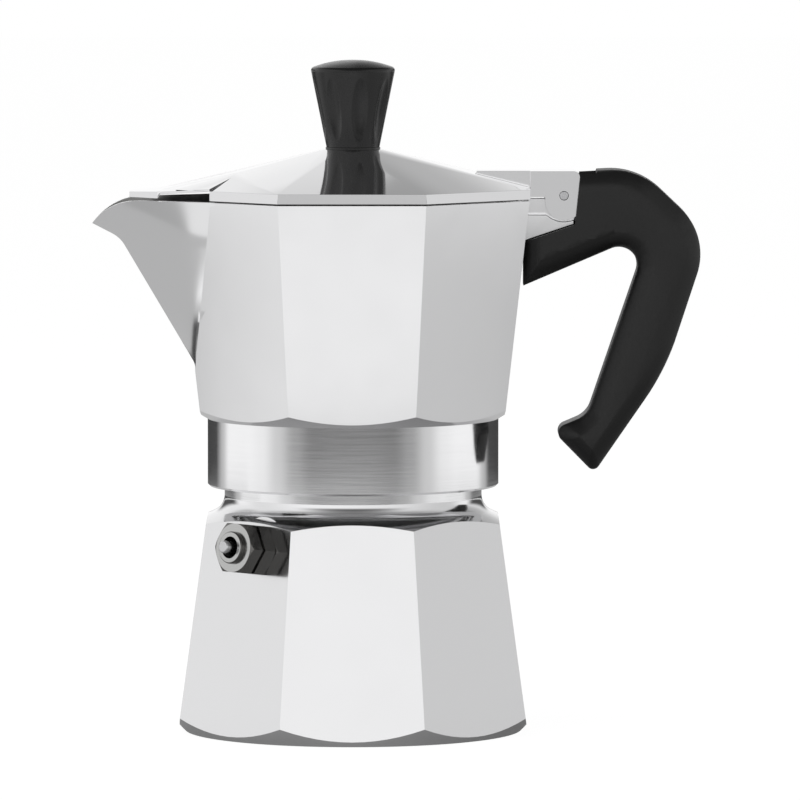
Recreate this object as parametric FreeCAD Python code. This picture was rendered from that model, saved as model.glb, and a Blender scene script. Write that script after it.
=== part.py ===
import FreeCAD, Part
import math
import os

# Octagonal stovetop coffee pot. Millimetres, +Z up, origin in the middle of the flat base.
# A facet faces -Y, the beak points to -X and the handle to +X.

V = FreeCAD.Vector

# Clearances
face_gap = 0.05           # between flat faces that press together
slide_gap = 0.3           # between curved faces that pass each other
pin_gap = 0.04            # radial running clearance of pins
thread_room = 1.6         # radial room for the thread between neck and collar
edge_round = 0.4          # small edges that are rounded off

# Boiler
boiler_base_flats = 83.0
boiler_taper = 7.66       # lean of a facet, degrees
boiler_wall = 2.9
boiler_floor = 4.0
base_disc_radius = 40.1   # flat round base inside the turned chamfer
base_chamfer = 45.0
shoulder_height = 51.6    # where the shoulder meets the middle of a facet
shoulder_slope = 25.0
neck_radius = 30.6
neck_fillet = 4.3
neck_wall = 3.0
rim_height = 67.4

# Safety valve, measured along its axis from the outer face of its facet
valve_height = 45.2
valve_offset = 3.8        # from the middle of the facet towards the front
valve_thread_radius = 4.9
valve_shank = 6.0
valve_boss_radius = 8.0
valve_boss_depth = 3.0
hex_flats = 11.4
hex_length = 8.0
hex_groove_width = 0.9
hex_groove_depth = 0.8
hex_groove_place = 3.7
hex_chamfer = 30.0
valve_bore_radius = 3.3
valve_seat_wall = 2.4
valve_inlet_radius = 1.7
bush_radius = 3.8
bush_hole = 2.55
bush_proud = 1.15
bush_depth = 2.6
valve_pin_radius = 1.5
valve_pin_proud = 3.4
valve_head_thickness = 1.0
valve_seal_thickness = 0.9
spring_wire = 0.7
spring_turns = 5
spring_room = 0.45        # around the coil in its bore

# Funnel
basket_room = 1.0         # around the basket in the neck
basket_depth = 20.0
basket_round = 2.0
sheet = 0.8
flange_lap = 1.4          # how far the flange laps over the neck
funnel_cone = 3.5         # drop from the basket to the stem
stem_radius = 5.0
stem_floor_gap = 4.5
sieve_hole_radius = 1.1
plate_hole_radius = 1.0
hole_rings = 3
hole_margin = 5.0

# Gasket and filter plate
gasket_thickness = 4.1
gasket_inset = 0.1        # from the basket's wall to the gasket's bore
plate_lap = 1.5           # how far the plate laps over the gasket
plate_rib = 0.5
plate_edge = 3.2          # flat edge outside the raised middle
plate_step = 1.0

# Upper chamber
collar_wall = 2.4
collar_overlap = 9.0      # how far the collar comes down past the boiler's rim
collar_edge = 0.5
underside_slope = 31.0
chamber_foot = 3.6        # from the gasket seat to the lower edge of a facet
chamber_height = 51.6
chamber_rim_flats = 83.5
chamber_taper = 6.43
chamber_wall = 2.6
floor_rise = 4.9          # from the gasket seat to the chamber's floor
column_height = 37.0
column_foot_radius = 9.0
column_top_radius = 5.4
column_wall = 1.7
column_round = 2.0
plate_dome = 1.6          # rise of the chamber's floor over the plate
port_radius = 1.9

# Beak
beak_reach = 62.0
beak_tip_drop = 6.0
beak_flare = 6.6          # the lip's run beyond the bend of the ridge
beak_bend_drop = 9.4
beak_bend_radius = 7.0
beak_bend_steps = 4
beak_apex_drop = 40.1
beak_lap = 11.9           # how far its sides reach over the next facets at the rim
lip_start = 50.5

# Lid
lid_gap = 0.4
band_height = 2.3
lid_overhang = 0.2
roof_slope = 14.2
lid_thickness = 1.8
knob_seat_radius = 7.0
flap_root = 27.6
flap_ridge_end = 45.5
flap_ridge_half = 5.0
flap_shoulder_half = 12.3
flap_end = 53.0
flap_end_half = 4.5
flap_end_ridge = 3.0
flap_end_height = 1.3
flap_thickness = 0.6
flap_gap = 1.0            # opening under its shoulders
flap_lift = 0.5           # how far its edge stands proud of the lid's band
flap_fall = 0.225         # drop of the flap's ridge for each millimetre outwards
flap_side_step = 1.5      # how far its root's edges lie outside the roof's corner ridges

# Hinge, measured from the pin
pin_reach = 8.3           # from the chamber's rim
pin_rise = 0.8
hinge_pin_radius = 1.1
cheek_half_width = 6.5
cheek_front = 8.0
cheek_back = 4.5
cheek_corner = (3.4, 1.5)
cheek_edge = 2.0          # where its back edge starts to lean
parting_drop = 0.3
knuckle_radius = 4.5
knuckle_drop = 1.35
tongue_half_width = 2.5
tongue_radius = 4.1
arm_half_width = 4.3
arm_top = 5.8
arm_root = 20.6
arm_sink = 1.0            # how deep the arm's ends sink into the roof
bracket_drop = 10.8
bracket_top = 4.5
bracket_end = 2.4
bracket_end_drop = 6.8
lid_opens = 100.0

# Handle: corners of its side from the pin, with their radii
handle_side = ((-9.6, -21.4), (20.5, -8.6, 4.5), (5.6, -52.1, 6.0), (-2.9, -55.7, 2.2), (7.2, -66.0, 1.6),
               (24.2, -41.4, 60.0), (34.6, -9.6, 15.0), (17.6, 6.5, 17.0), (3.9, 5.8), (2.6, -6.8),
               (-9.6, -10.9))
handle_width = 18.0
handle_round = 4.0
round_start = (4.0, -16.0)
tenon_half_width = 3.2
tenon_back = 1.0
tenon_length = 5.5
tenon_depth = 5.5
screw_foot = (-2.0, -14.6)
screw_lean = 21.7
screw_shank = 7.6
handle_screw_radius = 1.9
handle_screw_head = 3.6

# Knob
knob_foot_radius = 6.3
knob_top_radius = 10.1
knob_height = 19.3
knob_crown = 1.9
knob_crown_radius = 5.0
knob_crown_round = 25.0
knob_edge = 0.9
knob_foot_step = 0.5
knob_foot_lip = 0.2
flutes = 8
flute_turn = 12.0
flute_length = 15.0
flute_depth = 0.75
flute_spindle = 3.5
insert_radius = 3.2
insert_length = 9.0
knob_screw_radius = 1.9
knob_screw_head = 3.6
screw_head_height = 2.2
screw_head_round = 1.0

# Heights and widths that follow
seat = rim_height + gasket_thickness + 2 * face_gap
foot = seat + chamber_foot
rim = foot + chamber_height
chamber_floor = seat + floor_rise
collar_bore = neck_radius + thread_room
collar_radius = collar_bore + collar_wall
collar_bottom = rim_height - collar_overlap
neck_bore = neck_radius - neck_wall
basket_radius = neck_bore - basket_room
gasket_bore = basket_radius + gasket_inset
plate_radius = gasket_bore + plate_lap
flange_radius = neck_bore + flange_lap
wide = boiler_base_flats + chamber_rim_flats
lid_bottom = rim + lid_gap
band_top = lid_bottom + band_height
lid_apothem = chamber_rim_flats / 2 + lid_overhang
pin_x = chamber_rim_flats / 2 + pin_reach
pin_z = rim + pin_rise
cradle_radius = knuckle_radius + knuckle_drop + slide_gap


def tan(degrees):
    return math.tan(math.radians(degrees))


def boiler_apothem(z):
    return boiler_base_flats / 2 - z * tan(boiler_taper)


def chamber_apothem(z):
    return chamber_rim_flats / 2 - (rim - z) * tan(chamber_taper)


def roof_height(apothem):
    return band_top + (lid_apothem - apothem) * tan(roof_slope)


def rounded(points, place):
    """Closed wire through corner points (a, b) or (a, b, radius), each radius as a tangent arc."""
    count = len(points)
    starts, ends, middles = [], [], []
    for i, point in enumerate(points):
        here = V(point[0], point[1], 0)
        radius = point[2] if len(point) > 2 else 0
        back = V(*points[i - 1][:2], 0) - here
        ahead = V(*points[(i + 1) % count][:2], 0) - here
        back.normalize()
        ahead.normalize()
        half = back.getAngle(ahead) / 2
        reach = radius / math.tan(half)
        starts.append(here + back * reach)
        ends.append(here + ahead * reach)
        inward = back + ahead
        if radius:
            inward.normalize()
        middles.append(here + inward * (radius / math.sin(half) - radius))
    edges = []
    for i in range(count):
        a, b, middle = starts[i], ends[i], middles[i]
        if len(points[i]) > 2:
            edges.append(Part.Arc(place(a.x, a.y), place(middle.x, middle.y), place(b.x, b.y)).toShape())
        c = starts[(i + 1) % count]
        if b.distanceToPoint(c) > 1e-6:
            edges.append(Part.LineSegment(place(b.x, b.y), place(c.x, c.y)).toShape())
    return Part.Wire(edges)


def turned(points):
    """Solid of revolution about Z from (radius, height) corners."""
    face = Part.Face(rounded(points, lambda r, z: V(r, 0, z)))
    return face.revolve(V(0, 0, 0), V(0, 0, 1), 360)


def plate_xz(points, half):
    """Side outline in X and Z, given the same thickness to both sides of the middle."""
    face = Part.Face(rounded(points, lambda x, z: V(x, -half, z)))
    return face.extrude(V(0, 2 * half, 0))


def from_pin(points):
    """Corners that are measured from the hinge pin, placed in the pot."""
    return [(pin_x + p[0], pin_z + p[1]) + tuple(p[2:]) for p in points]


def octagon(apothem, z):
    corner = apothem / math.cos(math.pi / 8)
    angles = [math.pi / 8 + i * math.pi / 4 for i in range(9)]
    return Part.makePolygon([V(corner * math.cos(a), corner * math.sin(a), z) for a in angles])


def frustum(low_apothem, low, high_apothem, high):
    return Part.makeLoft([octagon(low_apothem, low), octagon(high_apothem, high)], True, True)


def cylinder(radius, low, high):
    return Part.makeCylinder(radius, high - low, V(0, 0, low))


def one(shape):
    """The single clean solid that a boolean should leave."""
    shape = shape.removeSplitter()
    if len(shape.Solids) != 1:
        raise ValueError("expected one solid, found %d" % len(shape.Solids))
    return shape.Solids[0]


def valve_placement():
    """Frame on the front left facet: Z out along its normal, X level and towards the front."""
    level = V(-1, -1, 0)
    level.normalize()
    sideways = V(1, -1, 0)
    sideways.normalize()
    lean = math.radians(boiler_taper)
    outward = level * math.cos(lean) + V(0, 0, math.sin(lean))
    origin = level * boiler_apothem(valve_height) + sideways * valve_offset + V(0, 0, valve_height)
    turn = FreeCAD.Rotation(sideways, outward.cross(sideways), outward, "ZXY")
    return FreeCAD.Placement(origin, turn)


def on_valve(shape):
    shape.Placement = valve_placement()
    return shape


def shoulder(r):
    return shoulder_height + (boiler_apothem(shoulder_height) - r) * tan(shoulder_slope)


def boiler():
    chamfer_top = (wide - base_disc_radius) * tan(base_chamfer)
    faceted = frustum(boiler_apothem(0), 0, boiler_apothem(rim_height), rim_height)
    lathe = turned([(0, 0), (base_disc_radius, 0), (wide, chamfer_top), (wide, wide), (0, wide)])
    crown = turned([(0, -1), (wide, -1), (wide, shoulder(wide)),
                    (neck_radius, shoulder(neck_radius), neck_fillet),
                    (neck_radius, rim_height), (0, rim_height)])
    body = faceted.common(lathe).common(crown)
    wall = boiler_wall / math.cos(math.radians(boiler_taper))
    ceiling = boiler_wall / math.cos(math.radians(shoulder_slope))
    hollow = frustum(boiler_apothem(boiler_floor) - wall, boiler_floor,
                     boiler_apothem(rim_height) - wall, rim_height)
    hollow = hollow.common(turned([(0, boiler_floor), (wide, boiler_floor), (wide, shoulder(wide) - ceiling),
                                   (neck_bore, shoulder(neck_bore) - ceiling), (neck_bore, rim_height),
                                   (0, rim_height)]))
    body = body.cut(hollow).cut(cylinder(neck_bore, basket_floor() - funnel_cone, rim_height))
    body = body.fuse(on_valve(cylinder(valve_boss_radius, -boiler_wall - valve_boss_depth, -boiler_wall / 2)))
    body = body.cut(on_valve(cylinder(valve_thread_radius + pin_gap, -2 * valve_shank, valve_shank)))
    flange_seat = cylinder(flange_radius + slide_gap, rim_height - sheet - face_gap, rim_height + 1)
    return one(body.cut(flange_seat))


def hexagon(flats, low, high):
    corner = flats / 2 / math.cos(math.pi / 6)
    angles = [i * math.pi / 3 for i in range(7)]
    points = [V(corner * math.cos(a), corner * math.sin(a), low) for a in angles]
    prism = Part.Face(Part.makePolygon(points)).extrude(V(0, 0, high - low))
    edge = (corner - flats / 2) * tan(hex_chamfer)
    trim = turned([(0, low), (flats / 2, low), (corner, low + edge), (corner, high - edge),
                   (flats / 2, high), (0, high)])
    return prism.common(trim)


def valve_body():
    head = hexagon(hex_flats, 0, hex_length)
    groove_floor = hex_flats / 2 - hex_groove_depth
    groove = turned([(groove_floor, hex_groove_place), (hex_flats, hex_groove_place),
                     (hex_flats, hex_groove_place + hex_groove_width),
                     (groove_floor, hex_groove_place + hex_groove_width)])
    body = head.cut(groove).fuse(cylinder(valve_thread_radius, -valve_shank, 0))
    body = body.cut(cylinder(valve_bore_radius, valve_seat_wall - valve_shank, hex_length))
    return on_valve(one(body.cut(cylinder(valve_inlet_radius, -valve_shank, 0))))


def valve_bush():
    shank = cylinder(valve_bore_radius - pin_gap, hex_length - bush_depth, hex_length)
    top = hex_length + bush_proud
    head = turned([(0, hex_length), (bush_radius, hex_length), (bush_radius, top, edge_round), (0, top)])
    hole = cylinder(bush_hole, 0, 2 * hex_length)
    return on_valve(one(shank.fuse(head).cut(hole)))


def valve_seat():
    return valve_seat_wall - valve_shank + face_gap


def valve_seal():
    low = valve_seat()
    return on_valve(cylinder(valve_bore_radius - slide_gap, low, low + valve_seal_thickness))


def valve_head_top():
    return valve_seat() + valve_seal_thickness + valve_head_thickness


def valve_pin():
    low = valve_seat() + valve_seal_thickness
    head = cylinder(valve_bore_radius - slide_gap, low, valve_head_top())
    tip = hex_length + valve_pin_proud
    stem = turned([(0, low), (valve_pin_radius, low), (valve_pin_radius, tip, edge_round), (0, tip)])
    return on_valve(one(head.fuse(stem)))


def biarc(start, start_way, end, end_way):
    """Two tangent arcs from one point and direction to another."""
    span = end - start
    ways = start_way + end_way
    bend = 2 * (1 - start_way.dot(end_way))
    reach = (math.sqrt(span.dot(ways) ** 2 + bend * span.dot(span)) - span.dot(ways)) / bend
    first = start + start_way * reach
    last = end - end_way * reach
    joint = (first + last) * 0.5
    arcs = []
    for a, corner, b in ((start, first, joint), (joint, last, end)):
        middle = (a + b) * 0.5
        side = corner - middle
        half_chord = (b - a).Length / 2
        sagitta = half_chord * math.tan(math.atan2(side.Length, half_chord) / 2)
        side.normalize()
        arcs.append(Part.Arc(a, middle + side * sagitta, b).toShape())
    return arcs


def valve_spring():
    low = valve_head_top() + spring_wire / 2 + face_gap
    high = hex_length - bush_depth - spring_wire / 2 - face_gap
    coil = valve_bore_radius - spring_room - spring_wire / 2
    pitch = (high - low) / spring_turns
    steps = 4 * spring_turns

    def point(i):
        a = i * math.pi / 2
        return V(coil * math.cos(a), coil * math.sin(a), low + pitch * i / 4)

    def way(i):
        a = i * math.pi / 2
        along = V(-coil * math.sin(a), coil * math.cos(a), pitch / (2 * math.pi))
        along.normalize()
        return along

    edges = []
    for i in range(steps):
        edges += biarc(point(i), way(i), point(i + 1), way(i + 1))
    wire = Part.Wire(Part.Circle(point(0), way(0), spring_wire / 2).toShape())
    tube = Part.Wire(edges).makePipeShell([wire], True, False)
    apart = [point(i).distanceToPoint(point(j)) for i in range(steps + 1) for j in range(i + 3, steps + 1)]
    print("spring: least gap to itself %.2f mm" % (min(apart) - spring_wire))
    return on_valve(tube if tube.ShapeType == "Solid" else Part.Solid(tube.Shells[0]))


def holes(radius, spread, low, high):
    """Drills for a round field of holes: one in the middle and six more in each ring."""
    drills = [cylinder(radius, low, high)]
    for ring in range(1, hole_rings + 1):
        out = spread * ring / hole_rings
        for i in range(6 * ring):
            a = 2 * math.pi * i / (6 * ring)
            drill = cylinder(radius, low, high)
            drill.translate(V(out * math.cos(a), out * math.sin(a), 0))
            drills.append(drill)
    return Part.makeCompound(drills)


def basket_floor():
    return rim_height - basket_depth


def funnel():
    floor = basket_floor()
    throat = floor - funnel_cone
    tip = boiler_floor + stem_floor_gap
    inside = basket_radius - sheet
    return one(turned([(stem_radius, tip), (stem_radius, throat),
                       (basket_radius, floor - sheet, basket_round),
                       (basket_radius, rim_height - sheet), (flange_radius, rim_height - sheet),
                       (flange_radius, rim_height), (inside, rim_height), (inside, floor),
                       (stem_radius - sheet, throat), (stem_radius - sheet, tip)]))


def funnel_sieve():
    low = basket_floor() + face_gap
    disc = cylinder(basket_radius - sheet - face_gap, low, low + sheet)
    return one(disc.cut(holes(sieve_hole_radius, basket_radius - hole_margin, low - sheet, low + 2 * sheet)))


def gasket():
    low = rim_height + face_gap
    return turned([(gasket_bore, low), (collar_bore - slide_gap, low, edge_round),
                   (collar_bore - slide_gap, low + gasket_thickness), (gasket_bore, low + gasket_thickness)])


def filter_plate():
    low = seat + face_gap
    raised = low + plate_rib
    inner = plate_radius - plate_edge
    plate = turned([(0, raised), (inner - plate_step, raised), (inner, low), (plate_radius, low),
                    (plate_radius, low + sheet), (inner, low + sheet), (inner - plate_step, raised + sheet),
                    (0, raised + sheet)])
    return one(plate.cut(holes(plate_hole_radius, inner - hole_margin, low - sheet, raised + 2 * sheet)))


def ridge():
    """Ridge of the beak from its apex to its tip, as (x, z) points, with the bend as an arc."""
    apex = V(-chamber_apothem(rim - beak_apex_drop), rim - beak_apex_drop, 0)
    bend = V(-beak_reach + beak_flare, rim - beak_bend_drop, 0)
    tip = V(-beak_reach, rim - beak_tip_drop, 0)
    back = apex - bend
    ahead = tip - bend
    back.normalize()
    ahead.normalize()
    half = back.getAngle(ahead) / 2
    inward = back + ahead
    inward.normalize()
    centre = bend + inward * (beak_bend_radius / math.sin(half))
    start = bend + back * (beak_bend_radius / math.tan(half))
    first = math.atan2(start.y - centre.y, start.x - centre.x)
    sweep = math.pi - 2 * half
    points = [(apex.x, apex.y)]
    for i in range(beak_bend_steps + 1):
        a = first - sweep * i / beak_bend_steps
        points.append((centre.x + beak_bend_radius * math.cos(a), centre.y + beak_bend_radius * math.sin(a)))
    points.append((tip.x, tip.y))
    return points


def shell_section(x, z, wall):
    """Level section of the chamber: an octagon whose -X side is drawn out to the beak's ridge."""
    outer = chamber_apothem(z)
    inner = outer - wall / math.cos(math.radians(chamber_taper))
    lap = beak_lap / math.sqrt(2) * max(0, z - rim + beak_apex_drop) / beak_apex_drop
    side = V(lap - outer, outer * tan(22.5) + lap, 0)
    flank = side - V(x, 0, 0)
    ridge_x = x + wall * flank.Length / flank.y
    side = V(lap - inner, inner * tan(22.5) + lap, 0)
    half = [V(inner, inner * tan(22.5), z), V(inner * tan(22.5), inner, z), V(-inner * tan(22.5), inner, z),
            V(side.x, side.y, z)]
    other = [V(p.x, -p.y, z) for p in reversed(half)]
    return Part.makePolygon(half + [V(ridge_x, 0, z)] + other + half[:1])


def chamber_shell(wall, low):
    """Faceted chamber with its beak, from a height to just above the rim. The ridge runs on past the tip."""
    line = ridge()
    (x, z), (tip_x, tip_z) = line[-2:]
    top = rim + chamber_wall
    beyond = (tip_x + (tip_x - x) * (top - tip_z) / (tip_z - z), top)
    points = [(-chamber_apothem(low), low)] + line + [beyond]
    return Part.makeLoft([shell_section(x, z, wall) for x, z in points], True, True)


def beak_trim():
    """Everything above the lip, which rises from the tip in an arc to the level rim."""
    tip_z = rim - beak_tip_drop
    run = beak_reach - lip_start
    radius = (run ** 2 + beak_tip_drop ** 2) / (2 * beak_tip_drop)
    half = math.asin(run / radius) / 2
    middle = V(-lip_start - radius * math.sin(half), 0, rim - radius * (1 - math.cos(half)))
    start, end = V(-beak_reach, 0, tip_z), V(-lip_start, 0, rim)
    top = rim + 2 * beak_tip_drop
    arc = Part.Arc(start, middle, end).toShape()
    rest = Part.makePolygon([end, V(wide, 0, rim), V(wide, 0, top), V(-wide, 0, top), V(-wide, 0, tip_z),
                             start])
    face = Part.Face(Part.Wire([arc] + rest.Edges))
    face.translate(V(0, -wide, 0))
    return face.extrude(V(0, 2 * wide, 0))


def column_spigot():
    return column_foot_radius - column_wall


def column():
    """Riser tube, pressed into the chamber's floor, with two ports near its closed top."""
    top = chamber_floor + column_height
    low = seat + floor_rise / 2
    step = chamber_floor + face_gap
    tube = turned([(0, low), (column_spigot(), low), (column_spigot(), step), (column_foot_radius, step),
                   (column_top_radius, top, column_round), (0, top)])
    start = V(0, -column_foot_radius, top - 3 * port_radius)
    port = Part.makeCylinder(port_radius, 2 * column_foot_radius, start, V(0, 1, 0))
    return one(tube.cut(underside()).cut(port))


def underside():
    """The threaded mouth, the gasket's seat, the plate's recess and the way up the column."""
    below = collar_bottom - collar_edge
    recess = seat + sheet + 2 * face_gap
    ceiling = recess + plate_rib + slide_gap
    shallow = plate_radius - plate_edge + slide_gap
    throat = column_foot_radius - 2 * column_wall
    top = chamber_floor + column_height - column_wall
    return turned([(0, below), (collar_bore, below), (collar_bore, seat), (plate_radius + slide_gap, seat),
                   (plate_radius + slide_gap, recess), (shallow, recess), (shallow, ceiling),
                   (throat, ceiling + plate_dome), (column_top_radius - column_wall, top), (0, top)])


def bracket(room):
    """Hinge bracket under the knuckles, with the tongue between them and the tenon for the handle.

    With room it is the space that the handle leaves for it."""
    inside = -pin_reach - chamber_wall / 2
    base = plate_xz(from_pin([(inside, -bracket_drop - room), (bracket_end + room, -bracket_end_drop - room),
                              (bracket_end + room, -bracket_top), (inside, -bracket_top)]),
                    cheek_half_width + room)
    base = base.cut(crosswise(cradle_radius, wide))
    tip = tongue_radius
    tongue = plate_xz(from_pin([(inside, -bracket_end_drop), (bracket_end, -bracket_end_drop),
                                (tip, -parting_drop), (tip, tip, tip), (-tip, tip, tip), (-tip, -pin_rise),
                                (inside, -pin_rise)]), tongue_half_width)
    back = -tenon_back + room
    front = -tenon_back - tenon_length - room
    low = -bracket_end_drop - tenon_depth - room
    tenon = plate_xz(from_pin([(front, -bracket_end_drop), (front, low), (back, low),
                               (back, -bracket_end_drop)]), tenon_half_width + room)
    return base.fuse(tongue).fuse(tenon)


def crosswise(radius, width):
    """Cylinder about the hinge axis."""
    return Part.makeCylinder(radius, width, V(pin_x, -width / 2, pin_z), V(0, 1, 0))


def upper_chamber():
    collar_top = foot - (chamber_apothem(foot) - collar_radius) * tan(underside_slope)
    cone = collar_top + (wide - collar_radius) * tan(underside_slope)
    high = 2 * wide
    lathe = turned([(0, collar_top), (collar_radius, collar_top), (wide, cone), (wide, high), (0, high)])
    collar = turned([(0, collar_bottom), (collar_radius - collar_edge, collar_bottom),
                     (collar_radius, collar_bottom + collar_edge), (collar_radius, collar_top),
                     (0, collar_top)])
    body = chamber_shell(0, collar_bottom).common(lathe).cut(beak_trim()).fuse(collar).fuse(bracket(0))
    lead = collar_radius - chamber_wall
    cone = chamber_floor + (wide - lead) * tan(underside_slope)
    hollow = turned([(0, chamber_floor), (lead, chamber_floor), (wide, cone), (wide, high), (0, high)])
    hollow = hollow.common(chamber_shell(chamber_wall, collar_bottom))
    socket = cylinder(column_spigot() + face_gap, seat, chamber_floor + chamber_wall)
    body = body.cut(hollow).cut(underside()).cut(socket)
    return one(body.cut(crosswise(hinge_pin_radius, wide)).cut(handle_screw_hole()))


def handle_screw_axis():
    """Where the screw's head sits in the arm, and its direction up into the tenon."""
    lean = math.radians(screw_lean)
    return V(pin_x + screw_foot[0], 0, pin_z + screw_foot[1]), V(-math.sin(lean), 0, math.cos(lean))


def handle_screw_hole():
    at, way = handle_screw_axis()
    return Part.makeCylinder(handle_screw_radius, screw_shank + slide_gap, at, way)


def handle_screw():
    at, way = handle_screw_axis()
    shank = Part.makeCylinder(handle_screw_radius - pin_gap, screw_shank, at, way)
    head = Part.makeCylinder(handle_screw_head, screw_head_height, at - way * screw_head_height, way)
    return one(shank.fuse(head))


def hinge_room():
    """Slot in the handle that the knuckles swing in, with a back that lies along the open lid's arm."""
    lean = tan(lid_opens - 90)
    back = (arm_top + 3 * slide_gap) / math.sin(math.radians(lid_opens))
    front = -pin_reach - cheek_front
    top = 2 * arm_top
    return plate_xz(from_pin([(front, -cradle_radius), (back - cradle_radius * lean, -cradle_radius),
                              (back + top * lean, top), (front, top)]), cheek_half_width + 2 * slide_gap)


def handle():
    half = handle_width / 2
    body = plate_xz(from_pin(handle_side), half)
    side_edges = [e for e in body.Edges if abs(abs(e.CenterOfMass.y) - half) < face_gap]
    edges = [e for e in side_edges if e.CenterOfMass.x > pin_x + round_start[0]
             or e.CenterOfMass.z < pin_z + round_start[1]]
    body = body.makeFillet(handle_round, edges)
    wall = frustum(chamber_apothem(foot) + face_gap, foot, chamber_apothem(rim) + face_gap, rim)
    body = body.cut(hinge_room()).cut(wall).cut(bracket(face_gap)).cut(handle_screw_hole())
    at, way = handle_screw_axis()
    recess = Part.makeCylinder(handle_screw_head + face_gap, handle_width, at - way * handle_width, way)
    return one(body.cut(recess))


def hinge_pin():
    length = 2 * cheek_half_width
    return Part.makeCylinder(hinge_pin_radius - pin_gap, length, V(pin_x, -length / 2, pin_z), V(0, 1, 0))


def beak_corner():
    """Where the beak leaves the rim, on the lid's outline."""
    lap = beak_lap / math.sqrt(2)
    return V(lap - lid_apothem, lid_apothem * tan(22.5) + lap, 0)


def flap_sections():
    """Sections of the flap over the beak, from its root on the roof to its end."""
    start = roof_height(flap_root)
    corner = flap_root * tan(22.5)
    root = beak_corner()
    shoulder_top = lid_bottom + flap_gap + flap_thickness
    narrowing = (corner - flap_ridge_half) / (flap_ridge_end - flap_root)
    rows = ((flap_root, corner, corner + flap_side_step, start - flap_side_step * tan(roof_slope), None),
            (-root.x, corner - narrowing * (-root.x - flap_root), root.y, band_top + flap_lift, None),
            (flap_ridge_end, flap_ridge_half, flap_shoulder_half, shoulder_top, None),
            (flap_ridge_end + flap_thickness, flap_ridge_half, flap_shoulder_half, shoulder_top, lid_bottom),
            (flap_end, flap_end_ridge, flap_end_half, lid_bottom + flap_end_height, lid_bottom))
    sections = []
    for x, half, edge, edge_z, low in rows:
        z = max(start - (x - flap_root) * flap_fall, edge_z + face_gap)
        low = edge_z - flap_thickness if low is None else low
        outline = [(-edge, low), (-edge, edge_z), (-half, z), (half, z), (edge, edge_z), (edge, low)]
        sections.append(Part.makePolygon([V(-x, y, height) for y, height in outline + outline[:1]]))
    return sections


def lid():
    top = knob_seat_radius
    shell = frustum(lid_apothem, lid_bottom, lid_apothem, band_top)
    shell = shell.fuse(frustum(lid_apothem, band_top, top, roof_height(top)))
    down = lid_thickness / math.cos(math.radians(roof_slope))
    inner = lid_apothem - lid_thickness
    under = frustum(inner, lid_bottom, inner, roof_height(inner) - down)
    under = under.fuse(frustum(inner, roof_height(inner) - down, top, roof_height(top) - down))
    shell = shell.cut(under)
    root = beak_corner()
    mouth = Part.makeBox(wide, 2 * root.y, band_height, V(root.x - wide, -root.y, lid_bottom))
    shell = shell.cut(mouth).fuse(Part.makeLoft(flap_sections(), True, True))
    shell = shell.fuse(hinge_arm())
    shell = shell.cut(cylinder(knob_screw_radius, 0, 2 * wide))
    return one(shell)


def hinge_arm():
    """Arm from the roof to the two cheeks, slotted for the tongue and bored for the pin."""
    low = -knuckle_drop - knuckle_radius
    turn = knuckle_radius - face_gap
    lean_x, corner_round = cheek_corner
    cheeks = plate_xz(from_pin([(-cheek_front, -parting_drop), (-knuckle_radius, -parting_drop),
                                (-knuckle_radius, low, turn), (cheek_back, low, turn),
                                (cheek_back, cheek_edge), (lean_x, arm_top, corner_round),
                                (-cheek_front, arm_top)]), cheek_half_width)
    ends = [-arm_root - arm_sink, -cheek_front + arm_sink]
    feet = [(x, roof_height(pin_x + x) - pin_z - arm_sink) for x in ends]
    arm = plate_xz(from_pin([(ends[1], arm_top), (-arm_root, arm_top)] + feet), arm_half_width)
    room = tongue_radius + slide_gap
    side = knuckle_radius + slide_gap
    slot = plate_xz(from_pin([(-side, -wide), (wide, -wide), (wide, room), (-side, room)]),
                    tongue_half_width + slide_gap)
    return cheeks.fuse(arm).cut(slot).cut(crosswise(hinge_pin_radius, wide))


def knob():
    low = roof_height(knob_seat_radius) + face_gap
    high = low + knob_height
    step = low + knob_foot_step
    lip = knob_foot_radius + knob_foot_lip
    crown = high + knob_crown
    body = turned([(0, low), (lip, low), (lip, step), (knob_foot_radius, step),
                   (knob_top_radius, high, knob_edge), (knob_crown_radius, crown, knob_crown_round),
                   (0, crown)])
    lean = math.atan2(knob_top_radius - knob_foot_radius, knob_height)
    middle = (knob_foot_radius + knob_top_radius) / 2
    for i in range(flutes):
        body = body.cut(flute(low + knob_height / 2, middle, lean, 360.0 * i / flutes + flute_turn))
    return one(body.cut(cylinder(insert_radius, 0, low + insert_length)))


def flute(height, radius, lean, angle):
    """Spindle laid along the knob's side, whose groove is widest in the middle and runs out at its ends."""
    half = flute_length / 2
    end = flute_spindle - flute_depth
    arc = Part.Arc(V(end, 0, -half), V(flute_spindle, 0, 0), V(end, 0, half)).toShape()
    rest = Part.makePolygon([V(end, 0, half), V(0, 0, half), V(0, 0, -half), V(end, 0, -half)])
    spindle = Part.Face(Part.Wire([arc] + rest.Edges)).revolve(V(0, 0, 0), V(0, 0, 1), 360)
    spindle.rotate(V(0, 0, 0), V(1, 0, 0), math.degrees(lean))
    spindle.translate(V(0, -(radius + end * math.cos(lean)), height))
    spindle.rotate(V(0, 0, 0), V(0, 0, 1), angle)
    return spindle


def knob_insert():
    low = roof_height(knob_seat_radius) + face_gap
    sleeve = cylinder(insert_radius - face_gap, low, low + insert_length - face_gap)
    return one(sleeve.cut(cylinder(knob_screw_radius, 0, low + insert_length - knob_screw_radius / 2)))


def knob_screw():
    down = lid_thickness / math.cos(math.radians(roof_slope))
    under = roof_height(knob_seat_radius) - down - face_gap
    low = under - screw_head_height
    head = turned([(0, low), (knob_screw_head, low, screw_head_round), (knob_screw_head, under), (0, under)])
    top = roof_height(knob_seat_radius) + insert_length - knob_screw_radius
    return one(head.fuse(cylinder(knob_screw_radius - pin_gap, under, top)))


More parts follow.
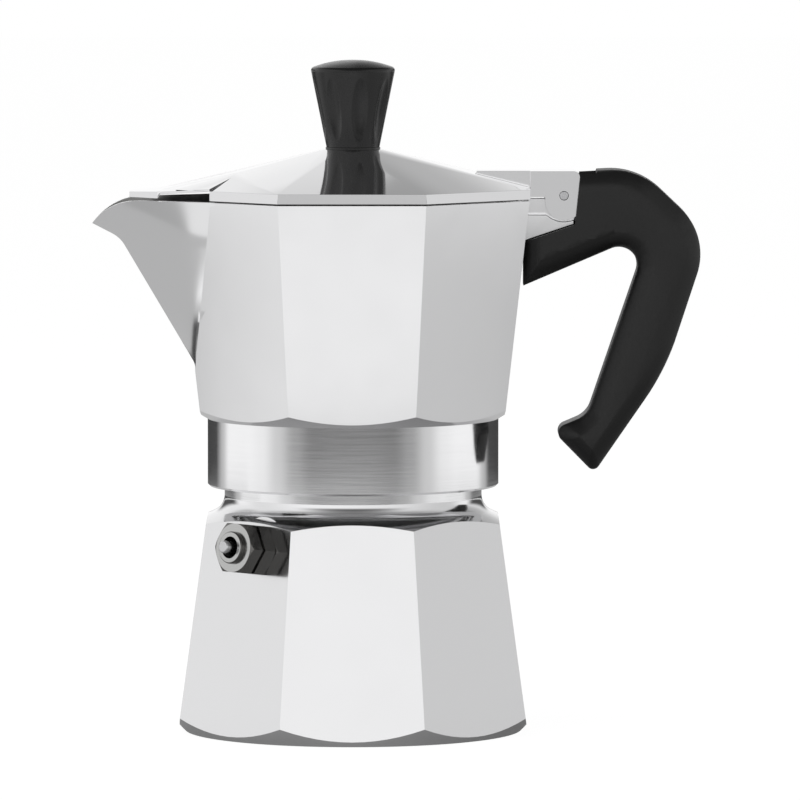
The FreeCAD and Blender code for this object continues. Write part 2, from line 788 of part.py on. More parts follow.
PIECES = (boiler, valve_body, valve_bush, valve_seal, valve_pin, valve_spring, funnel, funnel_sieve, gasket,
          filter_plate, upper_chamber, column, handle, handle_screw, hinge_pin, lid, knob, knob_insert,
          knob_screw)

os.makedirs("parts", exist_ok=True)
for piece in PIECES:
    solid = piece()
    if not solid.isValid() or solid.Volume <= 0:
        raise ValueError("bad solid: " + piece.__name__)
    solid.exportStep("parts/" + piece.__name__ + ".step")
    print("%-14s %9.1f mm3" % (piece.__name__, solid.Volume))
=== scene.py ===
# %% [markdown]
# # An octagonal stovetop coffee pot
# The pot stands on a white sweep: a faceted boiler, a faceted chamber screwed onto it, a hinged lid, a black
# handle and a black knob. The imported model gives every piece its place, so this lesson only has to give the
# pieces smooth skins, finishes and light. All sizes are written in millimetres and turned to metres once.

# %% Load the frame
import math
import bpy
import bmesh
from mathutils import Matrix, Vector


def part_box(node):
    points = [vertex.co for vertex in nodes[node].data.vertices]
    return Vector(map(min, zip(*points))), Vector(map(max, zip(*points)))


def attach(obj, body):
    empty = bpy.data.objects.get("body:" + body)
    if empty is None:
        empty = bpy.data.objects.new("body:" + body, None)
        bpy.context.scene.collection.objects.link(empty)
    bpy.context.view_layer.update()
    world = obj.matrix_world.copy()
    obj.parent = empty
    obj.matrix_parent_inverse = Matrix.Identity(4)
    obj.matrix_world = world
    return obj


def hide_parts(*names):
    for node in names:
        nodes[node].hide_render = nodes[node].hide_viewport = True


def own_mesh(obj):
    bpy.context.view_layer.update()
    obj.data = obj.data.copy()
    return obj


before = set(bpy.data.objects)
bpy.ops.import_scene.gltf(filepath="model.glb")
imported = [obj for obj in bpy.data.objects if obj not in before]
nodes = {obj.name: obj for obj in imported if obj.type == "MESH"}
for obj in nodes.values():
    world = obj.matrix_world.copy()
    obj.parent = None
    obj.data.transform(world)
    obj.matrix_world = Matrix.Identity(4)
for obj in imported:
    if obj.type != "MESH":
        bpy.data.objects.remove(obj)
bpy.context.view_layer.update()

MM = 0.001


# %% [markdown]
# ## Sizes that the skins share
# A polished casting shows every dent in its skin, so the main castings are modelled again here with clean
# quads. They follow the same few sizes as the solids: a leaning octagon, cut by a turned base, shoulder and
# rim.

# %% Sizes of the castings, in millimetres
boiler_half = 41.5
boiler_lean = math.tan(math.radians(7.66))
boiler_wall = 2.93
base_radius = 40.1
shoulder_height = 51.6
shoulder_fall = math.tan(math.radians(25.0))
neck_radius = 30.6
neck_fillet = 4.3
neck_bore = 27.6
mouth_height = 67.4
boiler_floor = 4.0

collar_radius = 34.6
collar_bore = 32.2
collar_bottom = 58.4
seat_height = 71.6
facet_foot = 75.2
rim_height = 126.8
rim_half = 41.75
chamber_lean = math.tan(math.radians(6.43))
chamber_wall = 2.6
underside_rise = math.tan(math.radians(31.0))
chamber_floor = 76.5
EIGHTH = math.pi / 4
HALF_SIDE = math.tan(math.pi / 8)


def octagon_reach(half, angle):
    """Distance from the axis to the side of an octagon, in the direction of an angle."""
    off = (angle + EIGHTH / 2) % EIGHTH - EIGHTH / 2
    return half / math.cos(off)


# %% [markdown]
# ## Skins from loops
# A solid that goes round an axis can be skinned from a row of loops: each loop is a closed ring of points,
# all with the same count, and neighbours are joined by quads. It is plainer than a boolean, and every edge
# of the casting lies on an edge of the mesh, so a bevel can round it evenly. The weighted normals then keep
# the broad facets flat and leave the turn of the light to the narrow bevels.

# %% Helpers for meshes
def new_piece(name, mesh, material=None):
    """A new object at the origin, with its place in its mesh."""
    piece = bpy.data.objects.new(name, mesh)
    bpy.context.scene.collection.objects.link(piece)
    if material:
        mesh.materials.append(material)
    return piece


def skin(build, loops):
    """Joins closed loops of points by quads. A loop of one point is a pole."""
    rows = [[build.verts.new(Vector(p) * MM) for p in loop] for loop in loops]
    for low, high in zip(rows, rows[1:]):
        count = max(len(low), len(high))
        for i in range(count):
            j = (i + 1) % count
            corners = [low[i % len(low)], low[j % len(low)], high[j % len(high)], high[i % len(high)]]
            build.faces.new([v for k, v in enumerate(corners) if v not in corners[:k]])


def finished(build):
    """The mesh of a build, merged and with its faces turned outwards."""
    bmesh.ops.remove_doubles(build, verts=build.verts, dist=1e-7)
    bmesh.ops.recalc_face_normals(build, faces=build.faces)
    mesh = bpy.data.meshes.new("build")
    build.to_mesh(mesh)
    build.free()
    return mesh


def plain_mesh(piece):
    """Turns a piece's modifiers into a plain mesh."""
    graph = bpy.context.evaluated_depsgraph_get()
    mesh = bpy.data.meshes.new_from_object(piece.evaluated_get(graph))
    piece.modifiers.clear()
    piece.data = mesh
    mesh.name = piece.name
    return piece


def soften(piece, width, angle=22.0, segments=3):
    """Rounds the edges of a piece that turn by more than an angle, and weights its normals by area."""
    piece.data.shade_smooth()
    edge = piece.modifiers.new("edge", "BEVEL")
    edge.width = width * MM
    edge.segments = segments
    edge.limit_method = "ANGLE"
    edge.angle_limit = math.radians(angle)
    edge.use_clamp_overlap = True
    weight = piece.modifiers.new("weight", "WEIGHTED_NORMAL")
    weight.weight = 100
    weight.keep_sharp = True
    return plain_mesh(piece)


def round_corner(before, corner, after, radius, steps):
    """Points of the arc that rounds one corner of a line in two dimensions."""
    before, corner, after = Vector(before), Vector(corner), Vector(after)
    back, ahead = (before - corner).normalized(), (after - corner).normalized()
    half = back.angle(ahead) / 2
    centre = corner + (back + ahead).normalized() * (radius / math.sin(half))
    start = corner + back * (radius / math.tan(half)) - centre
    end = corner + ahead * (radius / math.tan(half)) - centre
    first = math.atan2(start.y, start.x)
    turn = (math.atan2(end.y, end.x) - first + math.pi) % (2 * math.pi) - math.pi
    angles = [first + turn * i / steps for i in range(steps + 1)]
    return [(centre.x + radius * math.cos(a), centre.y + radius * math.sin(a)) for a in angles]


# %% [markdown]
# ## Nodes by one small function
# Materials, the light and the Geometry Nodes trees below are all node trees. One function adds a node, sets
# what is given by name or number, and wires its inputs, so each tree reads as a short list.

# %% Helpers for node trees
def add(tree, kind, values=None, wires=None):
    """A new node, with its inputs and settings from values and its links from wires."""
    made = tree.nodes.new(kind)
    for key, value in (values or {}).items():
        if isinstance(key, int) or key in made.inputs:
            made.inputs[key].default_value = value
        else:
            setattr(made, key, value)
    for key, socket in (wires or {}).items():
        tree.links.new(socket, made.inputs[key])
    return made


def linear_colour(code, alpha=1.0):
    """An sRGB hex colour in linear light."""
    parts = [int(code[i:i + 2], 16) / 255 for i in (1, 3, 5)]
    return tuple(c / 12.92 if c <= 0.04045 else ((c + 0.055) / 1.055) ** 2.4 for c in parts) + (alpha,)


# %% [markdown]
# ## The camera
# The photograph looks straight at one facet from far away and a little above, so its lines hardly converge.
# A long lens from two metres gives the same flat view. The target is the point in the middle of the picture.

# %% Camera
view_height = math.radians(4.05)
view_distance = 2000.0
view_target = Vector((11.17, 0.0, 78.63))
lens = bpy.data.cameras.new("studio_camera")
lens.lens = 378.0
lens.sensor_width = 36.0
lens.clip_end = 20.0
camera = bpy.data.objects.new("studio_camera", lens)
back = Vector((0.0, -math.cos(view_height), math.sin(view_height)))
camera.location = (view_target + back * view_distance) * MM
camera.rotation_euler = back.to_track_quat("Z", "Y").to_euler()
bpy.context.scene.collection.objects.link(camera)
bpy.context.scene.camera = camera
bpy.context.scene.view_settings.view_transform = "Standard"
print("camera stands", round(camera.location.length, 3), "m away")


# %% [markdown]
# ## Light and floor
# Polished metal shows the room more than itself, and each surface of this pot mirrors another part of the
# studio. The boiler looks at the lit wall in front, the chamber down at the table, the lid at the wall
# behind, and the turned collar at a band all round near the horizon. So the room is painted by direction and
# the table by place, in grey levels: two lit sides, a darker ceiling, and a dark zone behind each shoulder
# that draws the collar's edges. Both are plain white to the camera.

# %% Grey levels from a few stops
def ramp(tree, value, low, high, stops):
    """A smooth curve of grey levels over a value, from stops of (value, level)."""
    scaled = add(tree, "ShaderNodeMapRange", {"From Min": low, "From Max": high}, {"Value": value})
    made = add(tree, "ShaderNodeValToRGB", wires={0: scaled.outputs[0]})
    made.color_ramp.interpolation = "EASE"
    line = made.color_ramp.elements
    while len(line) < len(stops):
        line.new(0.5)
    for spot, (place, level) in zip(line, stops):
        spot.position = (place - low) / (high - low)
        spot.color = (level, level, level, 1.0)
    return made.outputs[0]


def sums(tree, operation, a, b=0.0):
    """One math node: inputs are sockets or numbers."""
    made = add(tree, "ShaderNodeMath", {"operation": operation})
    for place, value in enumerate((a, b)):
        if isinstance(value, (int, float)):
            made.inputs[place].default_value = value
        else:
            tree.links.new(value, made.inputs[place])
    return made.outputs[0]


def between(tree, share, a, b):
    """A mix of two levels, by a share from 0 to 1."""
    made = add(tree, "ShaderNodeMix", {"data_type": "FLOAT"})
    for place, value in zip(("Factor", "A", "B"), (share, a, b)):
        if isinstance(value, (int, float)):
            made.inputs[place].default_value = value
        else:
            tree.links.new(value, made.inputs[place])
    return made.outputs[0]


def plain_view(tree):
    """The light path, and whether a ray comes from the camera or through glass."""
    seen = add(tree, "ShaderNodeLightPath")
    return seen, sums(tree, "MAXIMUM", seen.outputs["Is Camera Ray"], seen.outputs["Is Transmission Ray"])


# %% The room
above_lens_share, shoulder_level = 0.12, 0.08
room = bpy.data.worlds.new("studio")
bpy.context.scene.world = room
room.use_nodes = True
tree = room.node_tree
tree.nodes.clear()
way = add(tree, "ShaderNodeTexCoord")
axis = add(tree, "ShaderNodeSeparateXYZ", wires={0: way.outputs["Generated"]})
right, behind, up = axis.outputs
walls = sums(tree, "ADD", ramp(tree, right, -1.0, 1.0, [(-1.0, 0.84), (1.0, 0.66)]),
             ramp(tree, behind, -1.0, 1.0, [(-1.0, 0.22), (0.0, 0.0), (1.0, 0.22)]))
ceiling = ramp(tree, up, 0.0, 1.0, [(0.5, 1.0), (0.85, 0.25)])
above_lens = sums(tree, "MULTIPLY", ramp(tree, up, 0.0, 1.0, [(0.25, 0.0), (0.5, 1.0)]),
                  ramp(tree, behind, -1.0, 1.0, [(-0.9, 1.0), (-0.45, 0.0)]))
back_wall = between(tree, ramp(tree, right, -1.0, 1.0, [(-0.02, 0.0), (0.02, 1.0)]),
                    ramp(tree, up, 0.0, 1.0, [(0.12, 1.0), (0.38, 0.9), (0.54, 0.52)]),
                    ramp(tree, up, 0.0, 1.0, [(0.12, 1.0), (0.38, 0.48), (0.54, 0.22)]))
open_walls = between(tree, ramp(tree, behind, -1.0, 1.0, [(0.1, 0.0), (0.5, 1.0)]), walls, back_wall)
off_middle = sums(tree, "ABSOLUTE", right)
beside = ramp(tree, off_middle, 0.0, 1.0, [(0.12, 0.0), (0.3, 1.0), (0.7, 1.0), (0.85, 0.0)])
low_behind = sums(tree, "MULTIPLY", ramp(tree, behind, 0.0, 1.0, [(0.3, 0.0), (0.6, 1.0)]),
                  ramp(tree, up, 0.0, 1.0, [(0.1, 1.0), (0.26, 0.0)]))
shoulders = sums(tree, "MULTIPLY", beside, low_behind)
shade = sums(tree, "MULTIPLY", open_walls, ceiling)
shade = between(tree, above_lens, shade, sums(tree, "MULTIPLY", shade, above_lens_share))
shade = between(tree, shoulders, shade, shoulder_level)
seen, plain = plain_view(tree)
level = between(tree, plain, shade, 1.0)
wash = add(tree, "ShaderNodeBackground", {"Color": (1.0, 1.0, 1.0, 1.0)}, {"Strength": level})
add(tree, "ShaderNodeOutputWorld", wires={"Surface": wash.outputs[0]})
print("room lit by direction")


# %% The floor
white_level, table_behind, table_diffuse = 0.95, 0.42, 0.12


def table_level(tree):
    """Grey level of the table as the metal sees it, from the distance and the direction from the pot."""
    place = add(tree, "ShaderNodeTexCoord")
    flat = add(tree, "ShaderNodeVectorMath", {"operation": "MULTIPLY", 1: (1, 1, 0)},
               {0: place.outputs["Object"]})
    away = add(tree, "ShaderNodeVectorMath", {"operation": "LENGTH"}, {0: flat.outputs[0]}).outputs["Value"]
    way = add(tree, "ShaderNodeVectorMath", {"operation": "NORMALIZE"}, {0: flat.outputs[0]})
    axis = add(tree, "ShaderNodeSeparateXYZ", wires={0: way.outputs[0]})
    right, behind = axis.outputs[:2]
    near = ramp(tree, away, 0.0, 1.0, [(0.05, 0.2), (0.12, 0.36), (0.23, 0.4), (0.29, 0.88), (0.6, 0.88)])
    near = sums(tree, "MULTIPLY", near, ramp(tree, right, -1.0, 1.0, [(-1.0, 0.88), (0.0, 1.0), (1.0, 0.62)]))
    near = between(tree, ramp(tree, behind, -1.0, 1.0, [(-0.015, 0.0), (0.02, 1.0)]), near, table_behind)
    middle = ramp(tree, behind, -1.0, 1.0,
                  [(-1.0, 0.1), (-0.86, 0.08), (-0.7, 0.26), (-0.5, 0.6), (-0.26, 0.92),
                   (0.0, 1.0), (0.4, 1.0), (0.57, 0.5), (0.72, 0.0), (1.0, 0.0)])
    far = ramp(tree, right, -1.0, 1.0, [(-1.0, 0.78), (0.0, 0.54), (1.0, 0.7)])
    level = between(tree, ramp(tree, away, 0.0, 1.0, [(0.62, 0.0), (0.78, 1.0)]), near, middle)
    return between(tree, ramp(tree, away, 1.0, 3.0, [(1.3, 0.0), (1.7, 1.0)]), level, far)


def floor_material():
    """White paper: it glows for the camera and for mirrored rays, and takes a soft shadow."""
    paint = bpy.data.materials.new("white_sweep")
    paint.use_nodes = True
    tree = paint.node_tree
    tree.nodes.clear()
    seen, plain = plain_view(tree)
    glow = between(tree, plain, table_level(tree), white_level)
    watched = sums(tree, "MAXIMUM", plain, seen.outputs["Is Glossy Ray"])
    white = add(tree, "ShaderNodeEmission", wires={"Strength": sums(tree, "MULTIPLY", watched, glow)})
    matt = add(tree, "ShaderNodeBsdfDiffuse", {"Color": (table_diffuse, table_diffuse, table_diffuse, 1.0)})
    both = add(tree, "ShaderNodeAddShader", wires={0: white.outputs[0], 1: matt.outputs[0]})
    add(tree, "ShaderNodeOutputMaterial", wires={"Surface": both.outputs[0]})
    return paint


sweep = bmesh.new()
bmesh.ops.create_grid(sweep, x_segments=1, y_segments=1, size=6.0)
floor = new_piece("sweep", finished(sweep), floor_material())
print("floor laid")


# %% Soft boxes
def soft_box(name, place, width, height, power):
    """A lamp with a size, turned to the middle of the pot. The metal doesn't mirror it."""
    light = bpy.data.lights.new(name, "AREA")
    light.shape = "RECTANGLE"
    light.size, light.size_y = width, height
    light.energy = power
    box = bpy.data.objects.new(name, light)
    box.location = place
    box.rotation_euler = (Vector(place) - Vector((0, 0, 0.09))).to_track_quat("Z", "Y").to_euler()
    box.visible_glossy = False
    bpy.context.scene.collection.objects.link(box)
    return box


soft_box("top_box", (-0.25, -0.25, 1.3), 0.9, 0.9, 5.0)
soft_box("side_box", (0.9, -0.7, 0.9), 0.4, 0.8, 1.5)
print("soft boxes hung")


# %% [markdown]
# ## Finishes: polished and turned aluminium
# The facets were ground and buffed, which leaves a soft mirror with a faint ripple. The collar, the neck and
# the edge of the base were cut on a lathe, so fine rings run round them and stretch each highlight across
# the rings. Noise that is stretched round the axis draws those rings. Height and part of the distance from
# the axis are added up for it, so flat and sloping faces get rings too. They are really about 0.05 mm apart,
# too fine for the picture, so they are drawn about 0.4 mm apart. Noise on the roughness stands for the
# uneven buffing.

# %% Aluminium finishes
def shader(name, colour, metallic, roughness):
    """A material with one principled shader and object coordinates in millimetres."""
    made = bpy.data.materials.new(name)
    made.use_nodes = True
    tree = made.node_tree
    tree.nodes.clear()
    body = add(tree, "ShaderNodeBsdfPrincipled", {"Base Color": linear_colour(colour), "Metallic": metallic,
                                                  "Roughness": roughness})
    add(tree, "ShaderNodeOutputMaterial", wires={"Surface": body.outputs[0]})
    place = add(tree, "ShaderNodeTexCoord")
    scaled = add(tree, "ShaderNodeMapping", {"Scale": (1 / MM, 1 / MM, 1 / MM)},
                 {"Vector": place.outputs["Object"]})
    return made, tree, body, scaled.outputs[0]


def vary_roughness(tree, body, pattern, low, high):
    """Lets a pattern move the roughness between two values."""
    spread = add(tree, "ShaderNodeMapRange",
                 {"From Min": 0.3, "From Max": 0.7, "To Min": low, "To Max": high}, {"Value": pattern})
    tree.links.new(spread.outputs[0], body.inputs["Roughness"])


def emboss(tree, body, pattern, depth):
    """A bump whose depth is in millimetres."""
    bump = add(tree, "ShaderNodeBump", {"Strength": 1.0, "Distance": depth * MM}, {"Height": pattern})
    tree.links.new(bump.outputs[0], body.inputs["Normal"])


cloud_size, wave_size, ring_gap = 14.0, 9.0, 0.4
radius_share, turn_share = 0.6, 0.02


def buffed_aluminium(name, colour, low, high, ripple):
    """Cast aluminium, ground and buffed: a soft mirror with a slow ripple and faint cloudy patches."""
    made, tree, body, place = shader(name, colour, 1.0, low)
    clouds = add(tree, "ShaderNodeTexNoise", {"Scale": 1 / cloud_size, "Detail": 3.0}, {"Vector": place})
    vary_roughness(tree, body, clouds.outputs[0], low, high)
    waves = add(tree, "ShaderNodeTexNoise", {"Scale": 1 / wave_size, "Detail": 1.0}, {"Vector": place})
    emboss(tree, body, waves.outputs[0], ripple)
    return made


def lathe_aluminium(name, colour, low, high, groove):
    """Aluminium cut on a lathe: rings about the axis, drawn coarse enough to show."""
    made, tree, body, place = shader(name, colour, 1.0, low)
    across = add(tree, "ShaderNodeVectorMath", {"operation": "MULTIPLY", 1: (1, 1, 0)}, {0: place})
    away = add(tree, "ShaderNodeVectorMath", {"operation": "LENGTH"}, {0: across.outputs[0]}).outputs["Value"]
    height = add(tree, "ShaderNodeSeparateXYZ", wires={0: place}).outputs[2]
    along = sums(tree, "ADD", height, sums(tree, "MULTIPLY", away, radius_share))
    turn = add(tree, "ShaderNodeVectorMath", {"operation": "MULTIPLY", 1: (turn_share, turn_share, 0)},
               {0: place})
    along = add(tree, "ShaderNodeCombineXYZ", wires={2: along})
    wound_off = add(tree, "ShaderNodeVectorMath", wires={0: turn.outputs[0], 1: along.outputs[0]})
    rings = add(tree, "ShaderNodeTexNoise", {"Scale": 1 / ring_gap, "Detail": 4.0, "Roughness": 0.7},
                {"Vector": wound_off.outputs[0]})
    vary_roughness(tree, body, rings.outputs[0], low, high)
    emboss(tree, body, rings.outputs[0], groove)
    body.inputs["Anisotropic"].default_value = 0.4
    round_axis = add(tree, "ShaderNodeTangent", {"direction_type": "RADIAL", "axis": "Z"})
    tree.links.new(round_axis.outputs[0], body.inputs["Tangent"])
    return made


facet_metal = buffed_aluminium("buffed_cast_aluminium", "#F1F1F2", 0.13, 0.17, 0.01)
mirror_metal = buffed_aluminium("bright_buffed_aluminium", "#F0F0F1", 0.04, 0.07, 0.002)
lathe_metal = lathe_aluminium("lathe_cut_aluminium", "#EDEDEE", 0.09, 0.13, 0.0015)
inside_metal = buffed_aluminium("raw_cast_aluminium", "#D5D5D3", 0.38, 0.52, 0.05)
print("aluminium finishes mixed")


# %% [markdown]
# ## The boiler
# The boiler is an octagon that leans inwards, turned at its base, shoulder and neck. Where a turned cone
# meets a flat facet, the edge is a curve, so each column of the mesh works out its own height for it. The
# neck rises from the shoulder in a hollow curve. Inside, the wall follows the outside, and a step in the
# mouth takes the flange of the funnel. The safety valve screws through a boss in one wall, which is added
# and drilled by booleans before the edges are rounded.

# %% Boiler skin
FACET_STEPS = 12
FILLET_STEPS = 8


def turned_columns():
    """Angles of the columns, so that the edges of the octagon fall on one of them."""
    return [-EIGHTH / 2 + EIGHTH * i / FACET_STEPS for i in range(8 * FACET_STEPS)]


def ring(columns, at):
    """A loop from a rule that gives (radius, height) for each angle."""
    loop = []
    for angle in columns:
        radius, height = at(angle)
        loop.append((radius * math.cos(angle), radius * math.sin(angle), height))
    return loop


def circle(columns, radius, height):
    """A level loop of one radius."""
    return ring(columns, lambda angle: (radius, height))


def facet_cut(half, lean, start, line_height, line_rise):
    """Where a leaning facet meets the cone height = line_height + line_rise * radius, as a rule for ring().

    The facet's half width is half at height start and shrinks by lean for each unit of height."""
    def at(angle):
        spread = octagon_reach(1.0, angle)
        height = (line_height + line_rise * spread * (half + lean * start)) / (1 + line_rise * spread * lean)
        return spread * (half - lean * (height - start)), height
    return at


def boiler_loops():
    """All loops of the boiler, from the base up the outside, over the mouth and down the inside."""
    columns = turned_columns()
    shoulder_half = boiler_half - boiler_lean * shoulder_height
    shoulder_line = shoulder_height + shoulder_half * shoulder_fall
    neck_foot = (neck_radius, shoulder_line - shoulder_fall * neck_radius)
    fillet = round_corner((shoulder_half, shoulder_height), neck_foot, (neck_radius, mouth_height),
                          neck_fillet, FILLET_STEPS)
    loops = [[(0, 0, 0)], circle(columns, base_radius, 0.0),
             ring(columns, facet_cut(boiler_half, boiler_lean, 0.0, -base_radius, 1.0)),
             ring(columns, facet_cut(boiler_half, boiler_lean, 0.0, shoulder_line, -shoulder_fall))]
    loops += [circle(columns, r, z) for r, z in fillet]
    flange_bore, flange_depth = 29.3, 0.85
    flange_seat = mouth_height - flange_depth
    loops += [circle(columns, neck_radius, mouth_height), circle(columns, flange_bore, mouth_height),
              circle(columns, flange_bore, flange_seat), circle(columns, neck_bore, flange_seat)]
    ceiling = boiler_wall / math.cos(math.atan(shoulder_fall))
    inner_half = boiler_half - boiler_wall
    floor_half = inner_half - boiler_lean * boiler_floor
    loops += [circle(columns, neck_bore, shoulder_line - shoulder_fall * neck_bore - ceiling),
              ring(columns, facet_cut(inner_half, boiler_lean, 0.0, shoulder_line - ceiling, -shoulder_fall)),
              ring(columns, lambda a: (octagon_reach(floor_half, a), boiler_floor)),
              [(0, 0, boiler_floor)]]
    return loops


def paint_faces(piece, rule):
    """Gives each face the material slot that a rule picks from its centre and normal, in millimetres."""
    for face in piece.data.polygons:
        face.material_index = rule(face.center / MM, face.normal)


build = bmesh.new()
skin(build, boiler_loops())
boiler = new_piece("boiler_casting", finished(build), facet_metal)
boiler.data.materials.append(lathe_metal)
boiler.data.materials.append(inside_metal)
print("boiler skin has", len(boiler.data.polygons), "faces")

# %% Boss and hole for the safety valve
valve_height, valve_offset = 45.2, 3.8
valve_level = Vector((-1, -1, 0)).normalized()
valve_side = Vector((1, -1, 0)).normalized()
valve_lean = math.atan(boiler_lean)
valve_out = valve_level * math.cos(valve_lean) + Vector((0, 0, math.sin(valve_lean)))
valve_spot = valve_level * (boiler_half - boiler_lean * valve_height) + valve_side * valve_offset
valve_foot = (valve_spot + Vector((0, 0, valve_height))) * MM
valve_turn = Matrix((valve_side, valve_out.cross(valve_side), valve_out)).transposed()
valve_place = Matrix.Translation(valve_foot) @ valve_turn.to_4x4()
valve_hole, valve_shank, boss_radius, boss_depth = 5.0, 6.0, 8.0, 3.0
for operation, radius, low, high in (("UNION", boss_radius, -boiler_wall - boss_depth, -boiler_wall / 2),
                                     ("DIFFERENCE", valve_hole, -2 * valve_shank, valve_shank)):
    rod = bmesh.new()
    along = Matrix.Translation((0, 0, (low + high) / 2 * MM))
    bmesh.ops.create_cone(rod, cap_ends=True, segments=48, radius1=radius * MM, radius2=radius * MM,
                          depth=(high - low) * MM, matrix=valve_place @ along)
    rod = new_piece("valve_drill", finished(rod))
    cut = boiler.modifiers.new("valve", "BOOLEAN")
    cut.operation = operation
    cut.object = rod
    plain_mesh(boiler)
    bpy.data.objects.remove(rod)
print("valve hole is", 2 * valve_hole, "mm wide")


# %% Finish of the boiler
def boiler_slot(centre, normal):
    """0 for the buffed facets, 1 for what was turned, 2 for the raw inside."""
    reach = math.hypot(centre.x, centre.y)
    outward = normal.x * centre.x + normal.y * centre.y
    if reach < neck_bore + 2.0 and centre.z > 1.0 or outward < -0.05 * reach:
        return 2
    on_shoulder = centre.z > shoulder_height - 2.5 and normal.z > 0.3
    on_neck = reach < neck_radius + neck_fillet and centre.z > 50
    on_base = centre.z < 5.0 and normal.z < -0.3
    return 1 if on_shoulder or on_neck or on_base else 0


paint_faces(boiler, boiler_slot)
soften(boiler, 0.35)
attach(boiler, "boiler")
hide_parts("boiler")
print("boiler has", len(boiler.data.polygons), "faces")


# %% [markdown]
# ## The upper chamber
# The chamber is one casting: a turned collar below, an octagon that opens upwards, and a beak drawn out of
# one corner. A level cut through it is an octagon with one side pulled to a point, the ridge of the beak. So
# the skin is a stack of such sections, each divided in the same way, and the edges of the beak run along the
# mesh. Near the top the ridge flares out to the tip, and the flare dies away to the sides. Each column stops
# at the lip, which falls in an arc towards the tip. The inside is the same stack moved in by the wall, and a
# hollow column stands in the middle, where the coffee comes up.

# %% Sizes of the beak
SECTION_SIDES = 9
EDGE_STEPS, LIP_STEPS, LOWER_STEPS, BEND_STEPS, LIP_TRIES = 16, 12, 10, 10, 40
beak_depth, bend_fall, lip_drop = 40.1, 9.4, 6.0
bend_radius, past_tip = 7.0, 11.0
beak_apex = (-(rim_half - beak_depth * chamber_lean), rim_height - beak_depth)
beak_bend = (-55.4, rim_height - bend_fall)
beak_tip = (-62.0, rim_height - lip_drop)
beak_lap = 11.9 / math.sqrt(2)
lip_start = -50.5
lip_run = lip_start - beak_tip[0]
lip_radius = (lip_run ** 2 + lip_drop ** 2) / (2 * lip_drop)
ridge_bend = round_corner(beak_apex, beak_bend, beak_tip, bend_radius, BEND_STEPS)
run_on = (beak_tip[0] - ridge_bend[-1][0]) / (beak_tip[1] - ridge_bend[-1][1])
ridge_end = (beak_tip[0] + run_on * past_tip, beak_tip[1] + past_tip)
ridge_line = [beak_apex] + ridge_bend + [beak_tip, ridge_end]
print("lip falls along a radius of", round(lip_radius, 2), "mm")


def chamber_half(z):
    """Half of the chamber's width over its facets at a height."""
    return rim_half - chamber_lean * (rim_height - z)


def ridge_reach(z):
    """The x of the beak's ridge at a height, or of the plain octagon below the beak."""
    if z <= beak_apex[1]:
        return -chamber_half(z)
    for (x0, z0), (x1, z1) in zip(ridge_line, ridge_line[1:]):
        if z <= z1:
            return x0 + (x1 - x0) * (z - z0) / (z1 - z0)


def straight_reach(z):
    """The x that the ridge would have without its flare."""
    if z <= beak_apex[1]:
        return -chamber_half(z)
    return beak_apex[0] + (beak_bend[0] - beak_apex[0]) * (z - beak_apex[1]) / (beak_bend[1] - beak_apex[1])


def lip_height(x):
    """Height of the lip over a place on the beak's axis: an arc that falls towards the tip."""
    if x >= lip_start:
        return rim_height
    return rim_height - lip_radius + math.sqrt(max(0.0, lip_radius ** 2 - (x - lip_start) ** 2))


def section_corners(z, wall):
    """Corners of a level cut, from the ridge round by +Y and back."""
    outer = chamber_half(z)
    inner = outer - wall / math.cos(math.atan(chamber_lean))
    lap = beak_lap * max(0.0, (z - beak_apex[1]) / (rim_height - beak_apex[1]))
    flank = Vector((lap - outer - straight_reach(z), outer * HALF_SIDE + lap))
    tip = (straight_reach(z) + wall * flank.length / flank.y, 0.0)
    reach = inner * HALF_SIDE
    side = [(lap - inner, reach + lap), (-reach, inner), (reach, inner), (inner, reach)]
    return [tip] + side + [(x, -y) for x, y in reversed(side)]


def section_point(column, z, wall):
    """The point of a column of the skin at a height, with its share of the ridge's flare."""
    corners = section_corners(z, wall)
    edge, step = divmod(column, EDGE_STEPS)
    a, b = Vector(corners[edge]), Vector(corners[(edge + 1) % SECTION_SIDES])
    p = a.lerp(b, step / EDGE_STEPS)
    if edge in (0, SECTION_SIDES - 1):
        from_ridge = (step if edge == 0 else EDGE_STEPS - step) / EDGE_STEPS
        p.x += (ridge_reach(z) - straight_reach(z)) * (1 - from_ridge)
    return (p.x, p.y, z)


def lip_of(column, wall):
    """The height at which a column meets the lip."""
    z = rim_height
    for _ in range(LIP_TRIES):
        z = 0.5 * (z + lip_height(section_point(column, z, wall)[0]))
    return z


# %% Chamber skin
column_foot, column_top, column_height, column_round = 9.0, 5.4, 37.0, 2.0
riser_top, riser_foot, riser_roof, riser_lead = 3.7, 5.6, 1.7, 1.6
plate_seat, plate_room, seat_rise, room_rise = 28.5, 25.3, 0.9, 1.7
collar_edge = 0.5
port_radius, port_fall, port_length = 1.9, 5.7, 24
CROWN_STEPS = 5
COLUMNS = range(SECTION_SIDES * EDGE_STEPS)


def wall_loops(wall):
    """Loops of the faceted wall, from the beak's apex to the lip."""
    start = ridge_bend[0][1]
    lower = [beak_apex[1] + (start - beak_apex[1]) * i / LOWER_STEPS for i in range(LOWER_STEPS + 1)]
    loops = [[section_point(c, z, wall) for c in COLUMNS] for z in lower]
    tops = [lip_of(c, wall) for c in COLUMNS]
    for i in range(1, LIP_STEPS + 1):
        share = i / LIP_STEPS
        loops.append([section_point(c, start + (tops[c] - start) * share, wall) for c in COLUMNS])
    return loops


